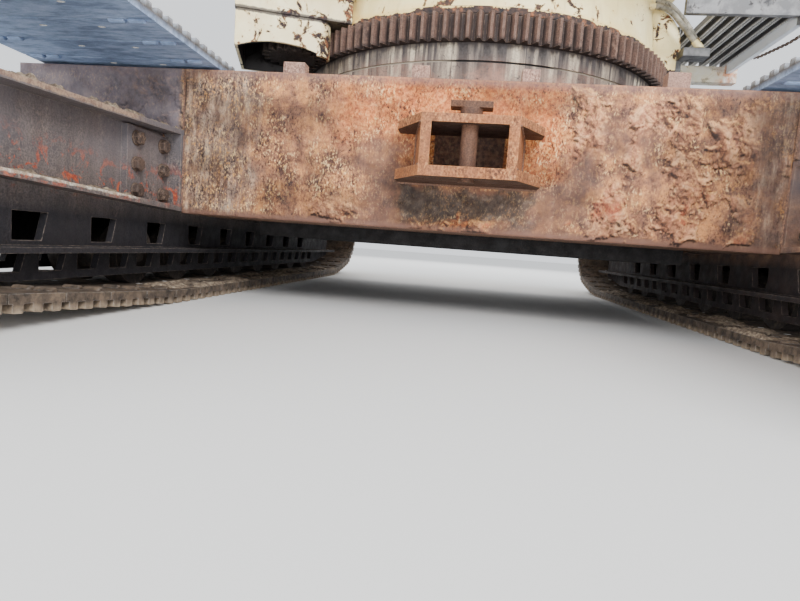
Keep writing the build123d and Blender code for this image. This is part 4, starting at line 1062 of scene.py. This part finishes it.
def make_bolts():
    """Hexagon bolts on the joint plates, axle caps and drives, and on the bed."""
    frame_bolts, drive_bolts, bed_bolts = Batch(), Batch(), Batch()
    plate_x = WEB_X - 0.025
    cap_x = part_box("axle_caps_right")[1].x
    drive_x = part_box("final_drive_right")[0].x
    motor_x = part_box("travel_motor_right")[0].x
    for side in (-1, 1):
        inward, outward = (-side, 0, 0), (side, 0, 0)
        for sign, face in ((-1, FRONT_Y), (1, REAR_Y)):
            for off in PLATE_COLUMNS:
                for row, z in enumerate(PLATE_ROWS):
                    place = (side * plate_x, face + sign * off, z)
                    frame_bolts.bolt(place, inward, *PLATE_BOLT, turn=0.4 * row + 2.1 * off)
        for end in (-1, 1):
            for y, z in circle((end * WHEEL_Y, WHEEL_Z), *CAP_CIRCLE):
                frame_bolts.bolt((side * cap_x, y, z), outward, *CAP_BOLT)
        for y, z in circle((WHEEL_Y, WHEEL_Z), *DRIVE_CIRCLE):
            drive_bolts.bolt((side * drive_x, y, z), inward, *CAP_BOLT)
        for y, z in circle((WHEEL_Y, WHEEL_Z), *MOTOR_CIRCLE):
            drive_bolts.bolt((side * motor_x, y, z), inward, *MOTOR_BOLT)
    low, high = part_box("swing_gearbox")
    middle = ((low.x + high.x) / 2, (low.y + high.y) / 2)
    for x, y in circle(middle, *GEARBOX_CIRCLE):
        bed_bolts.bolt((x, y, low.z), (0, 0, 1), *GEARBOX_BOLT)
    girder = (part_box("bed_girder_right")[0].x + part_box("bed_girder_right")[1].x) / 2
    for x, y in circle((0.0, SLEW_Y), *RACE_CIRCLE):
        if abs(abs(x) - girder) > GIRDER_CLEAR:
            bed_bolts.bolt((x, y, low.z), (0, 0, 1), *RACE_BOLT)
    frame_bolts.piece("frame_bolts", DARK, "undercarriage", "rusty_steel")
    drive_bolts.piece("drive_bolts", DARK, "undercarriage", "rusty_steel")
    bed_bolts.piece("bed_bolts", DARK, "revolving_bed", "cream_paint")


# Half the towing box's width at its front and at the beam, and the X and width of each lug on the front beam
BOX_FRONT_HALF = 0.174
BOX_BACK_HALF = 0.209
LUGS = ((-0.732, 0.088), (-0.215, 0.071), (0.215, 0.067), (0.760, 0.081))


def make_welds():
    """Weld beads where plates meet: towing box, lugs, beam joints and side frame flanges."""
    batch = Batch()
    low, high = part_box("tow_box")
    y = FRONT_Y
    for z, seed in ((high.z + 0.002, high.z), (low.z - 0.002, low.z)):
        batch.bead((low.x, y, z), (high.x, y, z), 0.006, seed)
    for side in (-1, 1):
        x = side * BOX_BACK_HALF
        batch.bead((x, y, MOUTH_LOW), (x, y, MOUTH_TOP), 0.007, side)
        for z, seed in ((MOUTH_TOP - 0.001, MOUTH_TOP + side), (MOUTH_LOW + 0.001, MOUTH_LOW + side)):
            batch.bead((side * BOX_FRONT_HALF, low.y + 0.002, z), (x, y, z), 0.005, seed)
    for face, sign in ((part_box("front_beam_lugs")[0].y, 1), (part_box("rear_beam_lugs")[1].y, -1)):
        for middle, width in LUGS:
            x = sign * middle
            batch.bead((x - width / 2, face, BEAM_TOP), (x + width / 2, face, BEAM_TOP), 0.004, x)
    for side in (-1, 1):
        for sign, face in ((-1, FRONT_Y), (1, REAR_Y)):
            for x, y, z0, z1, radius, seed in (
                (BEAM_HALF, face, FLANGE_LOW, FRAME_TOP - 0.02, 0.006, side + sign),
                (BEAM_HALF + 0.004, face, FRAME_TOP + 0.004, BEAM_TOP - 0.004, 0.005, side - sign),
                (WEB_X, face + sign * 0.020, 0.378, 0.668, 0.007, side),
            ):
                batch.bead((side * x, y, z0), (side * x, y, z1), radius, seed)
    batch.piece("weld_beads", RUST, "undercarriage", "rusty_steel", smooth=True)


# Earth that lies on the lower runs: name, X from, X to, Y from, Y to, mean thickness and size of lumps
EARTH_STRIPS = (
    ("track_inside", 1.053, 1.245, -0.90, 1.60, 0.004, 0.020),
    ("track_outside", 1.655, 1.847, -0.90, 1.60, 0.002, 0.016),
)
EARTH_CELL = 0.011
EARTH_BACK = 0.004


def make_earth():
    """Lumpy dry earth on the inner face of each lower run, and crumbs along the flanges."""
    for word, side in (("left", -1), ("right", 1)):
        for name, x0, x1, y0, y1, mean, lump in EARTH_STRIPS:

            def lumps(p, mean=mean, lump=lump):
                h = mean + lump * noise.fractal(Vector((p.x * 9, p.y * 5, 3.0 + side)), 0.9, 2.1, 5)
                h += 0.004 * noise.fractal(Vector((p.x * 60, p.y * 60, 1.0)), 0.9, 2.1, 3)
                return min(0.038, max(-0.002, h)), {}

            start = Vector((x0 if side > 0 else -x1, y0, SHOE_DEPTH))
            relief(f"earth_{name}_{word}", start, Vector((0, 1, 0)), (x1 - x0, y1 - y0), EARTH_CELL, lumps,
                   EARTH_BACK, EARTH)
        for name, joint, nose, outer, stop, lump in FLANGE_STRIPS:
            make_flange_earth(f"earth_{name}_{word}", side, joint, nose, outer, stop, lump)


# Crumbs on the flanges: name, height at the joint and at the nose, outer X, where they stop, size of lumps
FLANGE_STRIPS = (
    ("low_flange", FLANGE_LOW, FLANGE_NOSE, WEB_X, FRONT_Y - 0.32, 0.018),
    ("top_flange", FRAME_TOP, TOP_NOSE, 1.716, FRONT_Y - 0.03, 0.026),
)
CRUMB_CELL = 0.008
CRUMB_BACK = 0.003
NOSE_CLEAR = 0.01


def make_flange_earth(name, side, joint, nose, outer, stop, lump):
    """Crumbs of rust and earth along a sloping flange, before the front beam."""
    slope = (joint - nose) / (FRONT_Y - FRAME_NOSE_Y)
    up = Vector((0, 1, slope)).normalized()
    span = (stop - FRAME_NOSE_Y - NOSE_CLEAR) / up.y
    inner = BEAM_HALF + 0.001
    width = outer - 0.002 - inner
    left = inner if side > 0 else -inner - width
    start = Vector((left, FRAME_NOSE_Y + NOSE_CLEAR, nose + NOSE_CLEAR * slope))

    def crumbs(p):
        h = -0.001 + lump * noise.fractal(Vector((p.x * 26, p.y * 20, 9.0 * side)), 0.7, 2.2, 5)
        return min(0.020, max(-0.002, h)), {}

    relief(name, start, up, (width, span), CRUMB_CELL, crumbs, CRUMB_BACK, EARTH)


make_face_rust()
for word, side in (("left", -1), ("right", 1)):
    make_track(word, side)
make_planks()
make_chain()
make_bolts()
make_welds()
make_earth()

# Pale floor and soft studio light
FLOOR_SIZE = 60
FLOOR_COLOUR = (0.72, 0.72, 0.71, 1)
SKY_COLOUR = (0.93, 0.96, 1.0, 1)
SKY_STRENGTH = 1.35
floor_mesh = bpy.data.meshes.new("floor")
half = FLOOR_SIZE / 2
corners = [(-half, -half, 0), (half, -half, 0), (half, half, 0), (-half, half, 0)]
floor_mesh.from_pydata(corners, [], [(0, 1, 2, 3)])
floor = bpy.data.objects.new("floor", floor_mesh)
bpy.context.collection.objects.link(floor)
floor_shade = Shade("floor")
floor_shade.colour = FLOOR_COLOUR
floor_mesh.materials.append(floor_shade.finish(0.9))

world = bpy.data.worlds.new("sky")
world.use_nodes = True
world.node_tree.nodes["Background"].inputs[0].default_value = SKY_COLOUR
world.node_tree.nodes["Background"].inputs[1].default_value = SKY_STRENGTH
bpy.context.scene.world = world

# Lamp: name, place, where it looks, width, height, power
for name, place, look, width, height, power in (
    ("key", (2.8, -5.6, 4.5), (0, 0.4, 0.9), 3.0, 3.0, 510),
    ("fill", (-4.5, -4.6, 2.5), (0, 0.4, 0.9), 3.5, 3.5, 140),
    ("low", (-0.5, -6.0, 0.45), (0, 0.0, 1.2), 6.0, 0.7, 170),
    ("side", (5.5, -2.6, 0.45), (1.2, 0.2, 1.5), 3.0, 0.7, 160),
    ("back", (0, 7.4, 5.0), (0, 0.4, 1.0), 6.0, 6.0, 500),
):
    data = bpy.data.lights.new(name, "AREA")
    data.shape = "RECTANGLE"
    data.size = width
    data.size_y = height
    data.energy = power
    lamp = bpy.data.objects.new(name, data)
    lamp.location = place
    lamp.rotation_mode = "QUATERNION"
    lamp.rotation_quaternion = (Vector(look) - Vector(place)).to_track_quat("-Z", "Y")
    bpy.context.collection.objects.link(lamp)
